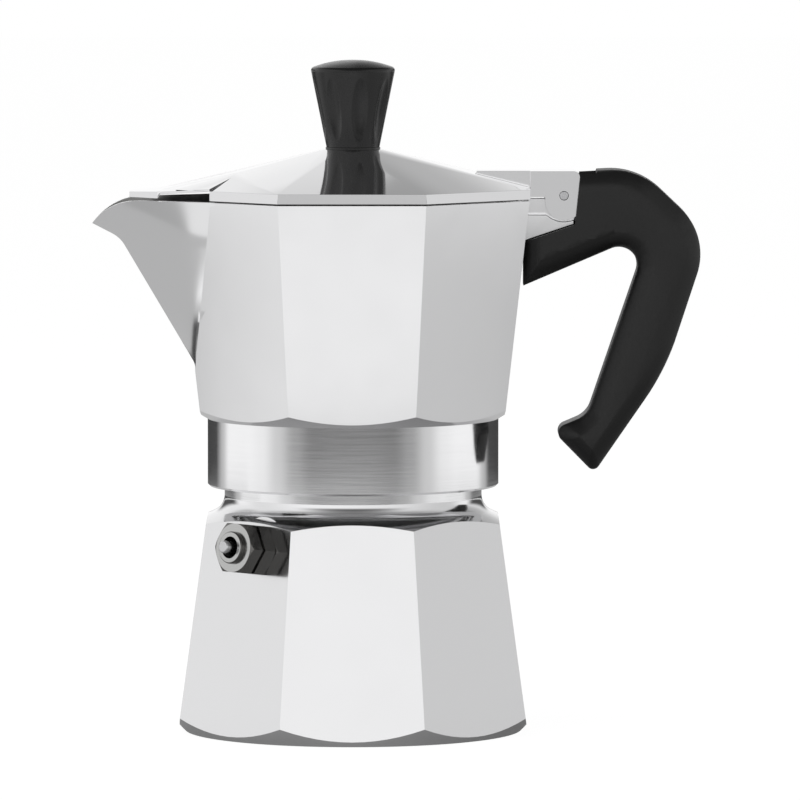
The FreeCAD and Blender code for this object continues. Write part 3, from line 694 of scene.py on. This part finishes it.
def chamber_loops():
    """All loops of the chamber, from the riser by the collar, the outer and the inner wall to the column."""
    angles = [math.atan2(*reversed(section_point(c, facet_foot, 0.0)[:2])) for c in COLUMNS]
    collar_top = facet_foot - (chamber_half(facet_foot) - collar_radius) * underside_rise
    recess, ceiling = seat_height + seat_rise, seat_height + room_rise
    peak = chamber_floor + column_height
    turned = [(riser_top, peak - riser_roof), (riser_foot, ceiling + riser_lead), (plate_room, ceiling),
              (plate_room, recess), (plate_seat, recess), (plate_seat, seat_height),
              (collar_bore, seat_height), (collar_bore, collar_bottom),
              (collar_radius - collar_edge, collar_bottom), (collar_radius, collar_bottom + collar_edge),
              (collar_radius, collar_top)]
    loops = [[(0, 0, peak - riser_roof)]] + [circle(angles, r, z) for r, z in turned]
    loops.append(ring(angles, facet_cut(rim_half, -chamber_lean, rim_height,
                                        collar_top - collar_radius * underside_rise, underside_rise)))
    loops += wall_loops(0.0) + wall_loops(chamber_wall)[::-1]
    inner_half = rim_half - chamber_wall / math.cos(math.atan(chamber_lean))
    lead = collar_radius - chamber_wall
    loops.append(ring(angles, facet_cut(inner_half, -chamber_lean, rim_height,
                                        chamber_floor - lead * underside_rise, underside_rise)))
    crown = round_corner((column_foot, chamber_floor), (column_top, peak), (0, peak),
                         column_round, CROWN_STEPS)
    loops += [circle(angles, r, z) for r, z in [(lead, chamber_floor), (column_foot, chamber_floor)] + crown]
    return loops + [[(0, 0, peak)]]


build = bmesh.new()
skin(build, chamber_loops())
chamber = new_piece("chamber_casting", finished(build), facet_metal)
chamber.data.materials.append(lathe_metal)
chamber.data.materials.append(inside_metal)
print("chamber skin has", len(chamber.data.polygons), "faces")

# %% Ports of the column
port = bmesh.new()
port_place = Matrix.Translation((0, 0, (chamber_floor + column_height - port_fall) * MM))
bmesh.ops.create_cone(port, cap_ends=True, segments=24, radius1=port_radius * MM, radius2=port_radius * MM,
                      depth=port_length * MM, matrix=port_place @ Matrix.Rotation(math.pi / 2, 4, "X"))
port = new_piece("port_drill", finished(port))
cut = chamber.modifiers.new("ports", "BOOLEAN")
cut.object = port
plain_mesh(chamber)
bpy.data.objects.remove(port)
print("ports are", 2 * port_radius, "mm wide")


# %% Finish of the chamber
def chamber_slot(centre, normal):
    """0 for the buffed facets, 1 for the turned collar, 2 for the raw inside."""
    outward = normal.x * centre.x + normal.y * centre.y
    inner = math.hypot(centre.x, centre.y) < collar_bore + 0.5 and centre.z < rim_height - 8
    if inner or outward < 0 and normal.z < 0.8:
        return 2
    return 1 if centre.z < facet_foot - 0.3 else 0


def on_root(point):
    """Whether a point lies on the line where the beak leaves the next facet."""
    x, y, z = point / MM
    if not beak_apex[1] < z <= rim_height + 0.01:
        return False
    side = section_corners(z, 0.0)[1]
    return math.hypot(x - side[0], abs(y) - side[1]) < 0.02


spots = [on_root(v.co) for v in chamber.data.vertices]
for edge in chamber.data.edges:
    edge.use_edge_sharp = all(spots[v] for v in edge.vertices)
paint_faces(chamber, chamber_slot)
soften(chamber, 0.35, 24.0)
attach(chamber, "upper_chamber")
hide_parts("upper_chamber", "column")
print("chamber has", len(chamber.data.polygons), "faces")


# %% [markdown]
# ## The lid, the bracket and the hinge
# The lid is a shallow octagonal roof with a straight band, a flap over the beak and an arm that ends in two
# cheeks. It is all flat faces and short arcs, which the solid already has. Its mesh comes as loose
# triangles, so a copy is merged, triangles in one plane are dissolved to whole faces, and its edges are
# rounded a little, as a buffing wheel leaves them. The real lid is the brightest piece: it mirrors the knob.

# %% Copies of solids with clean faces
def whole_faces(node, flat=1.0):
    """A merged copy of a node's mesh, with flat runs of triangles as one face."""
    build = bmesh.new()
    build.from_mesh(nodes[node].data)
    build.transform(nodes[node].matrix_world)
    bmesh.ops.remove_doubles(build, verts=build.verts, dist=0.002 * MM)
    bmesh.ops.dissolve_limit(build, angle_limit=math.radians(flat), verts=build.verts, edges=build.edges)
    return build


def dressed(node, name, body, material, edge, angle=22.0):
    """A piece that stands for a node: its clean copy with rounded edges."""
    piece = new_piece(name, finished(whole_faces(node)), material)
    soften(piece, edge, angle)
    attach(piece, body)
    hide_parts(node)
    return piece


lid = dressed("lid", "lid_casting", "lid", mirror_metal, 0.25)
print("lid has", len(lid.data.polygons), "faces")


# %% Hinge bracket
def arc_points(points, steps=8):
    """Corner points in two dimensions, with a third number as a radius, as a line with arcs."""
    line = []
    for i, p in enumerate(points):
        before, after = points[i - 1][:2], points[(i + 1) % len(points)][:2]
        line += round_corner(before, p[:2], after, p[2], steps) if len(p) > 2 else [p]
    return line


def slab(build, points, half):
    """A plate from a side view in X and Z, with the same width to both sides."""
    rows = [[build.verts.new(Vector((x, y, z)) * MM) for x, z in arc_points(points)] for y in (-half, half)]
    count = len(rows[0])
    build.faces.new(rows[0])
    build.faces.new(rows[1][::-1])
    for i in range(count):
        j = (i + 1) % count
        build.faces.new((rows[0][i], rows[1][i], rows[1][j], rows[0][j]))


pin_x, pin_z = 50.05, 127.6


def from_pin(points):
    """Points that are given from the axis of the hinge pin."""
    return [(pin_x + p[0], pin_z + p[1]) + tuple(p[2:]) for p in points]


CRADLE_STEPS = 12
cradle, shelf, nose = 6.15, -4.5, 2.4
bracket_back, bracket_foot, ledge, bracket_half = -9.6, -10.8, -6.8, 6.5
tongue, tongue_round, tongue_low, tongue_turn, tongue_half = 4.1, 4.05, -0.8, -0.3, 2.5
cradle_start = math.sqrt(cradle ** 2 - shelf ** 2)
cradle_end = math.sqrt(cradle ** 2 - nose ** 2)
first = math.atan2(shelf, -cradle_start)
last = math.atan2(-cradle_end, nose)
turns = [first + (last - first) * i / CRADLE_STEPS for i in range(CRADLE_STEPS + 1)]
cradle_line = [(cradle * math.cos(turn), cradle * math.sin(turn)) for turn in turns]
build = bmesh.new()
seat_view = [(bracket_back, bracket_foot), (nose, ledge)] + cradle_line[::-1] + [(bracket_back, shelf)]
tongue_view = [(bracket_back, ledge), (nose, ledge), (tongue, tongue_turn), (tongue, tongue, tongue_round),
               (-tongue, tongue, tongue_round), (-tongue, tongue_low), (bracket_back, tongue_low)]
slab(build, from_pin(seat_view), bracket_half)
slab(build, from_pin(tongue_view), tongue_half)
bracket = new_piece("hinge_bracket", finished(build), facet_metal)
soften(bracket, 0.25)
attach(bracket, "upper_chamber")
print("bracket has", len(bracket.data.polygons), "faces")


# %% [markdown]
# ## The knob
# The knob is a black moulding that widens upwards, with eight long hollows for the fingers. Each hollow is
# what a spindle leaves when it is laid along the side, so the distance from the axis can be worked out for
# each angle and height: the side of the cone, or the near side of the spindle where that is smaller.

# %% Black mouldings
def moulded_black(name, colour, low, high, grain, depth):
    """Moulded thermoset: deep black, with a faint grain that breaks up the highlights."""
    made, tree, body, place = shader(name, colour, 0.0, low)
    body.inputs["Specular IOR Level"].default_value = 0.5
    fine = add(tree, "ShaderNodeTexNoise", {"Scale": 1 / grain, "Detail": 3.0}, {"Vector": place})
    vary_roughness(tree, body, fine.outputs[0], low, high)
    emboss(tree, body, fine.outputs[0], depth)
    return made


handle_black = moulded_black("satin_black_moulding", "#0B0B0B", 0.36, 0.46, 0.5, 0.012)
knob_black = moulded_black("bright_black_moulding", "#0D0D0D", 0.20, 0.28, 0.8, 0.004)
print("black mouldings mixed")

# %% Knob skin
knob_foot, knob_top, knob_crown = 6.3, 10.1, 1.9
foot_rim, foot_lip = 0.5, 0.2
knob_edge, crown_flat, crown_radius = 0.9, 5.0, 25.0
knob_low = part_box("knob")[0][2] / MM
knob_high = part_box("knob")[1][2] / MM - knob_crown
knob_peak = knob_high + knob_crown
FLUTES, FLUTE_COLUMNS, FLUTE_ROWS = 8, 24, 48
flute_turn = math.radians(12.0 - 90.0)
flute_half, flute_radius, flute_end = 7.5, 3.5, 2.75


def knob_side(z):
    """Distance of the cone from the axis at a height."""
    return knob_foot + (knob_top - knob_foot) * (z - knob_low - foot_rim) / (knob_high - knob_low - foot_rim)


def knob_reach(angle, z):
    """Distance of the knob's side from the axis: the cone, or the hollow that a spindle leaves in it."""
    side = knob_side(z)
    along = (z - (knob_low + knob_high) / 2) / flute_half
    if abs(along) >= 1:
        return side
    spindle = flute_end + (flute_radius - flute_end) * (1 - along ** 2)
    span = 2 * math.pi / FLUTES
    off = (angle - flute_turn + span / 2) % span - span / 2
    away = side + flute_end
    across = spindle ** 2 - (away * math.sin(off)) ** 2
    return min(side, away * math.cos(off) - math.sqrt(across)) if across > 0 else side


columns = [2 * math.pi * i / (FLUTES * FLUTE_COLUMNS) for i in range(FLUTES * FLUTE_COLUMNS)]
under_edge = knob_high - 2
rounded_edge = round_corner((knob_side(under_edge), under_edge), (knob_top, knob_high),
                            (crown_flat, knob_peak), knob_edge, 6)
crown = round_corner((knob_top, knob_high), (crown_flat, knob_peak), (0, knob_peak), crown_radius, 10)
top_of_side = rounded_edge[0][1]
lip, rim_top = knob_foot + foot_lip, knob_low + foot_rim
loops = [[(0, 0, knob_low)], circle(columns, lip, knob_low), circle(columns, lip, rim_top),
         circle(columns, knob_foot, rim_top)]
for i in range(1, FLUTE_ROWS):
    z = rim_top + (top_of_side - knob_low - foot_rim) * i / FLUTE_ROWS
    loops.append(ring(columns, lambda angle: (knob_reach(angle, z), z)))
loops += [circle(columns, r, z) for r, z in rounded_edge + crown] + [[(0, 0, knob_peak)]]
build = bmesh.new()
skin(build, loops)
knob = new_piece("knob_grip", finished(build), knob_black)
knob.data.shade_smooth()
knob.data.set_sharp_from_angle(angle=math.radians(50.0))
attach(knob, "lid")
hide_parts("knob")
print("knob stands from", round(knob_low, 2), "to", round(knob_peak, 2), "mm")


# %% [markdown]
# ## The handle
# The handle is a hook of the same black material with a duller skin. Its solid has the right outline, but
# flat sides with rounded edges, while a moulded grip swells towards its middle. So the sides of a merged
# copy are cut into a grid, and each point sinks the more, the nearer it lies to the outline. Round the hinge
# the sides stay as they are, because the cheeks of the lid swing between them.

# %% Sides of the handle
SIDE_CELL = 2.5
handle_half, handle_round = 9.0, 4.0
crown_drop, crown_reach = 2.2, 11.0
hinge_clear, hinge_fade = 10.0, 12.0


def side_faces(build):
    """Faces of the two flat sides."""
    outer = (handle_half - 0.1) * MM
    return [f for f in build.faces if abs(f.normal.y) > 0.999 and abs(f.calc_center_median().y) > outer]


def side_outline(build):
    """The rounded edges of the flat side, as pairs of points in X and Z. The cut ends are left out."""
    flat = side_faces(build)
    known = set(flat)
    rim = [e for f in flat if f.normal.y < 0 for e in f.edges
           if any(g not in known and g.normal.y < -0.5 for g in e.link_faces)]
    return [tuple(Vector((v.co.x, v.co.z)) / MM for v in e.verts) for e in rim]


def off_line(point, line):
    """Distance of a point from a piece of line."""
    a, b = line
    share = max(0.0, min(1.0, (point - a).dot(b - a) / max((b - a).length_squared, 1e-9)))
    return (point - a - (b - a) * share).length


# %% Handle
build = whole_faces("handle")
outline = side_outline(build)
for axis, way in ((0, (1, 0, 0)), (1, (0, 0, 1))):
    low, high = (pick(p[axis] for line in outline for p in line) for pick in (min, max))
    for step in range(1, int((high - low) / SIDE_CELL) + 1):
        flat = side_faces(build)
        edges = dict.fromkeys(e for f in flat for e in f.edges)
        verts = dict.fromkeys(v for f in flat for v in f.verts)
        parts = flat + list(edges) + list(verts)
        cut = low + step * SIDE_CELL
        bmesh.ops.bisect_plane(build, geom=parts, plane_co=Vector(way) * cut * MM, plane_no=way)
for vert in build.verts:
    reach = abs(vert.co.y) / MM
    rise = (reach - handle_half + handle_round) / handle_round
    if rise > 0.005:
        gap = min(off_line(Vector((vert.co.x, vert.co.z)) / MM, line) for line in outline)
        inside = handle_round + (gap if reach > handle_half - 0.02 else -gap)
        off_pin = math.hypot(vert.co.x / MM - pin_x, vert.co.z / MM - pin_z)
        free = max(0.0, min(1.0, (off_pin - hinge_clear) / hinge_fade))
        drop = crown_drop * max(0.0, 1.0 - inside / crown_reach) ** 2 * min(rise, 1.0) * free
        vert.co.y *= 1.0 - drop / reach
handle = new_piece("handle_grip", finished(build), handle_black)
soften(handle, 0.4, 35.0)
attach(handle, "upper_chamber")
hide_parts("handle")
print("handle has", len(handle.data.polygons), "faces")


# %% [markdown]
# ## Small hardware
# The safety valve, the pins and the screws keep the shapes of their solids, with rounded edges and finishes
# of their own: a dark plating on the valve, plain steel, brass, and two kinds of rubber. The valve is the
# only one of them that the photograph shows well: a dark hexagon with a groove, a round bush in its mouth
# and a pin. The ends of the hexagon and the bush, which look out of the wall, get a lighter copy of the
# plating: a painted reflection of the bright room.

# %% Finishes for hardware
def worked_metal(name, colour, low, high):
    """Plated or drawn metal: even colour, with a fine cloud on the roughness."""
    made, tree, body, place = shader(name, colour, 1.0, low)
    clouds = add(tree, "ShaderNodeTexNoise", {"Scale": 1 / 1.5, "Detail": 3.0}, {"Vector": place})
    vary_roughness(tree, body, clouds.outputs[0], low, high)
    return made


def rubber(name, colour):
    """Moulded rubber: matt, with a fine grain."""
    made, tree, body, place = shader(name, colour, 0.0, 0.6)
    fine = add(tree, "ShaderNodeTexNoise", {"Scale": 1 / 0.6, "Detail": 2.0}, {"Vector": place})
    vary_roughness(tree, body, fine.outputs[0], 0.55, 0.75)
    emboss(tree, body, fine.outputs[0], 0.01)
    return made


plating = worked_metal("dark_plating", "#6A6967", 0.16, 0.26)
# A lighter copy of the plating for the valve's outward faces: a painted reflection of the bright room.
reflection_painted_plating = worked_metal("reflection_painted_plating", "#C4C4C3", 0.14, 0.22)
bright_steel = worked_metal("bright_steel", "#D2D2D4", 0.18, 0.28)
turned_brass = worked_metal("turned_brass", "#C4A362", 0.25, 0.35)
sheet_metal = worked_metal("satin_sheet_aluminium", "#DCDCDE", 0.28, 0.38)
white_rubber = rubber("white_rubber", "#E2DCCB")
black_rubber = rubber("black_rubber", "#161616")
print("finishes for hardware mixed")

# %% Valve, pins and screws
for node, name, body, slot, material, edge in (
        ("valve_body", "valve_hexagon", "boiler", "valve_metal", plating, 0.15),
        ("valve_bush", "valve_collar", "boiler", "valve_metal", plating, 0.12),
        ("valve_pin", "valve_plunger", "valve_pin", "steel", bright_steel, 0.12),
        ("valve_seal", "valve_disc", "valve_pin", "seal_rubber", black_rubber, 0.1),
        ("hinge_pin", "hinge_rod", "upper_chamber", "steel", bright_steel, 0.2),
        ("handle_screw", "handle_bolt", "upper_chamber", "steel", bright_steel, 0.15),
        ("knob_screw", "knob_bolt", "lid", "steel", bright_steel, 0.15),
        ("knob_insert", "knob_sleeve", "lid", "insert_brass", turned_brass, 0.15)):
    piece = dressed(node, name, body, material, edge)
    if slot == "valve_metal":
        piece.data.materials.append(reflection_painted_plating)
        # Faces that look out along the valve get the lighter plating, a painted reflection.
        paint_faces(piece, lambda centre, normal: 1 if normal.dot(valve_out) > 0.9 else 0)
    print(piece.name, "rides on", body)


# %% [markdown]
# ## Inside: funnel and gasket
# Both are plain turned shapes, so each is one closed profile of radii and heights, swept round the axis. The
# gasket is a little narrower than the collar's thread, so that the thread can pass it.

# %% Turned pieces
def keep(piece, body, node):
    """Puts a piece on a body, in place of a node."""
    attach(piece, body)
    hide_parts(node)


def lathe(name, profile, material, body, node):
    """A piece from a closed profile of (radius, height) points about the axis."""
    columns = turned_columns()
    loops = [circle(columns, r, z) if r > 0 else [(0, 0, z)] for r, z in profile]
    build = bmesh.new()
    skin(build, loops + (loops[:1] if profile[0][0] > 0 else []))
    piece = new_piece(name, finished(build), material)
    if body:
        soften(piece, 0.15)
        keep(piece, body, node)
    return piece


basket_radius, sheet, basket_floor, stem_radius, stem_tip = 26.6, 0.8, 47.4, 5.0, 8.5
basket_round, flange_radius, throat_drop = 2.0, 29.0, 3.5
gasket_bore, gasket_reach, gasket_low, gasket_high = 26.7, 31.4, 67.45, 71.55
throat = basket_floor - throat_drop
funnel_profile = [(stem_radius, stem_tip), (stem_radius, throat)]
funnel_profile += round_corner((stem_radius, throat), (basket_radius, basket_floor - sheet),
                               (basket_radius, mouth_height), basket_round, 6)
funnel_profile += [(basket_radius, mouth_height - sheet), (flange_radius, mouth_height - sheet),
                   (flange_radius, mouth_height), (basket_radius - sheet, mouth_height),
                   (basket_radius - sheet, basket_floor), (stem_radius - sheet, throat),
                   (stem_radius - sheet, stem_tip)]
lathe("coffee_funnel", funnel_profile, sheet_metal, "funnel", "funnel")
gasket_profile = [(gasket_bore, gasket_low), (gasket_reach, gasket_low), (gasket_reach, gasket_high),
                  (gasket_bore, gasket_high)]
lathe("gasket_ring", gasket_profile, white_rubber, "gasket", "gasket")
print("funnel and gasket turned")


# %% [markdown]
# ## Holes by a rule
# The sieve in the basket and the plate above it have round fields of fine holes: one in the middle, six round
# it, then twelve, and so on. Ring k starts at hole 1 + 3k(k - 1), so each hole can work out its ring from its
# own number, and from that its angle. A Geometry Nodes tree does this and cuts the holes from a blank disc.

# %% Helpers for geometry trees
def new_tree(name, sockets):
    """An empty tree with a geometry output and named inputs."""
    tree = bpy.data.node_groups.new(name, "GeometryNodeTree")
    tree.interface.new_socket("Geometry", in_out="OUTPUT", socket_type="NodeSocketGeometry")
    for label, kind in sockets:
        tree.interface.new_socket(label, in_out="INPUT", socket_type="NodeSocket" + kind)
    return tree, add(tree, "NodeGroupInput")


def end_tree(tree, start, geometry):
    """Ends a tree: real geometry with the material from its inputs."""
    real = add(tree, "GeometryNodeRealizeInstances", wires={0: geometry})
    painted = add(tree, "GeometryNodeSetMaterial",
                  wires={0: real.outputs[0], "Material": start.outputs["Material"]})
    add(tree, "NodeGroupOutput", wires={0: painted.outputs[0]})


def grow(piece, tree, settings):
    """Runs a tree on a piece with settings by input name, and keeps the plain mesh."""
    run = piece.modifiers.new("grow", "NODES")
    run.node_group = tree
    for item in tree.interface.items_tree:
        if item.in_out == "INPUT" and item.name in settings:
            run[item.identifier] = settings[item.name]
    plain_mesh(piece)
    piece.data.shade_smooth()
    piece.data.set_sharp_from_angle(angle=math.radians(35.0))
    return piece


# %% The tree that drills discs
drill, start = new_tree("drilled_disc", (("Disc", "Geometry"), ("Material", "Material"), ("Rings", "Int"),
                                         ("Spread", "Float"), ("Hole", "Float"), ("Height", "Float")))
HOLE_SIDES = 14
drill_length = 6 * MM
rings = start.outputs["Rings"]
sixes = sums(drill, "MULTIPLY", rings, sums(drill, "ADD", rings, 1))
count = sums(drill, "ADD", sums(drill, "MULTIPLY", sixes, 3), 1)
points = add(drill, "GeometryNodePoints", wires={"Count": count})
number = add(drill, "GeometryNodeInputIndex").outputs[0]
root = sums(drill, "SQRT", sums(drill, "ADD", sums(drill, "MULTIPLY", number, 12), 9))
share = sums(drill, "DIVIDE", sums(drill, "SUBTRACT", root, 3), 6)
own_ring = sums(drill, "CEIL", sums(drill, "SUBTRACT", share, 0.001))
pairs = sums(drill, "MULTIPLY", own_ring, sums(drill, "SUBTRACT", own_ring, 1))
first = sums(drill, "ADD", sums(drill, "MULTIPLY", pairs, 3), 1)
part_turn = sums(drill, "DIVIDE", sums(drill, "SUBTRACT", number, first),
                 sums(drill, "MULTIPLY", own_ring, 6))
angle = sums(drill, "MULTIPLY", part_turn, 2 * math.pi)
out = sums(drill, "MULTIPLY", start.outputs["Spread"], sums(drill, "DIVIDE", own_ring, rings))
spot = add(drill, "ShaderNodeCombineXYZ",
           wires={0: sums(drill, "MULTIPLY", out, sums(drill, "COSINE", angle)),
                  1: sums(drill, "MULTIPLY", out, sums(drill, "SINE", angle)), 2: start.outputs["Height"]})
placed = add(drill, "GeometryNodeSetPosition", wires={0: points.outputs[0], "Position": spot.outputs[0]})
bit = add(drill, "GeometryNodeMeshCylinder", {"Vertices": HOLE_SIDES, "Depth": drill_length},
          {"Radius": start.outputs["Hole"]})
bits = add(drill, "GeometryNodeInstanceOnPoints",
           wires={"Points": placed.outputs[0], "Instance": bit.outputs[0]})
solid_bits = add(drill, "GeometryNodeRealizeInstances", wires={0: bits.outputs[0]})
cut = add(drill, "GeometryNodeMeshBoolean", {"operation": "DIFFERENCE"},
          {"Mesh 1": start.outputs["Disc"], "Mesh 2": solid_bits.outputs[0]})
end_tree(drill, start, cut.outputs[0])
print("drilling tree has", len(drill.nodes), "nodes")

# %% Sieve and filter plate
sieve_low, sieve_radius = 47.45, 25.75
blank = [(0, sieve_low), (sieve_radius, sieve_low), (sieve_radius, sieve_low + sheet), (0, sieve_low + sheet)]
sieve = lathe("basket_sieve", blank, sheet_metal, None, None)
grow(sieve, drill, {"Material": sheet_metal, "Rings": 8, "Spread": 22.4 * MM, "Hole": 0.7 * MM,
                    "Height": (sieve_low + sheet / 2) * MM})
keep(sieve, "funnel", "funnel_sieve")
plate_low, plate_radius, plate_inner, plate_rib = 71.65, 28.2, 25.0, 0.5
under = [(0, plate_low + plate_rib), (plate_inner - 1, plate_low + plate_rib), (plate_inner, plate_low),
         (plate_radius, plate_low)]
plate = lathe("filter_disc", under + [(r, z + sheet) for r, z in under[::-1]], sheet_metal, None, None)
grow(plate, drill, {"Material": sheet_metal, "Rings": 9, "Spread": 21.8 * MM, "Hole": 0.6 * MM,
                    "Height": (plate_low + plate_rib) * MM})
keep(plate, "filter_plate", "filter_plate")
print("sieve has", len(sieve.data.polygons), "faces and the plate", len(plate.data.polygons))


# %% [markdown]
# ## Threads and spring
# A thread and a spring are the same thing in another size: a round bead that climbs along a spiral. One tree
# makes both. The thread on the neck and the one in the collar climb three millimetres in each turn, as the
# joint does, and are half sunk into their walls.

# %% The tree that winds a bead
wind, start = new_tree("wound_bead", (("Material", "Material"), ("Radius", "Float"), ("Pitch", "Float"),
                                      ("Turns", "Float"), ("Bead", "Float"), ("Start", "Float")))
rise = sums(wind, "MULTIPLY", start.outputs["Pitch"], start.outputs["Turns"])
line = add(wind, "GeometryNodeCurveSpiral", {"Resolution": 64},
           {"Rotations": start.outputs["Turns"], "Start Radius": start.outputs["Radius"],
            "End Radius": start.outputs["Radius"], "Height": rise})
bead = add(wind, "GeometryNodeCurvePrimitiveCircle", {"Resolution": 12}, {"Radius": start.outputs["Bead"]})
tube = add(wind, "GeometryNodeCurveToMesh", {"Fill Caps": True},
           {"Curve": line.outputs[0], "Profile Curve": bead.outputs[0]})
up = add(wind, "ShaderNodeCombineXYZ", wires={2: start.outputs["Start"]})
lifted = add(wind, "GeometryNodeTransform", wires={0: tube.outputs[0], "Translation": up.outputs[0]})
end_tree(wind, start, lifted.outputs[0])
print("winding tree has", len(wind.nodes), "nodes")


def wound(name, material, radius, pitch, turns, bead, low):
    """A new piece: a bead of a radius, wound about the axis from a height."""
    piece = new_piece(name, bpy.data.meshes.new(name))
    return grow(piece, wind, {"Material": material, "Radius": radius * MM, "Pitch": pitch * MM,
                              "Turns": turns, "Bead": bead * MM, "Start": low * MM})


# %% Threads
thread_pitch, thread_bead, thread_sink = 3.0, 0.75, 0.1
for name, body, radius, low, turns in (
        ("neck_thread", "boiler", neck_radius - thread_sink, 60.2, 2.0),
        ("collar_thread", "upper_chamber", collar_bore + thread_sink, 61.0, 2.5)):
    thread = wound(name, lathe_metal, radius, thread_pitch, turns, thread_bead, low)
    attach(thread, body)
    print(name, "has", len(thread.data.polygons), "faces")

# %% Valve spring
spring_low, spring_high, spring_coil, spring_wire = -1.25, 5.0, 2.5, 0.35
spring_turns = 5.0
spring_pitch = (spring_high - spring_low) / spring_turns
spring = wound("valve_coil", bright_steel, spring_coil, spring_pitch, spring_turns, spring_wire, spring_low)
spring.data.transform(valve_place)
keep(spring, "boiler", "valve_spring")
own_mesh(spring)
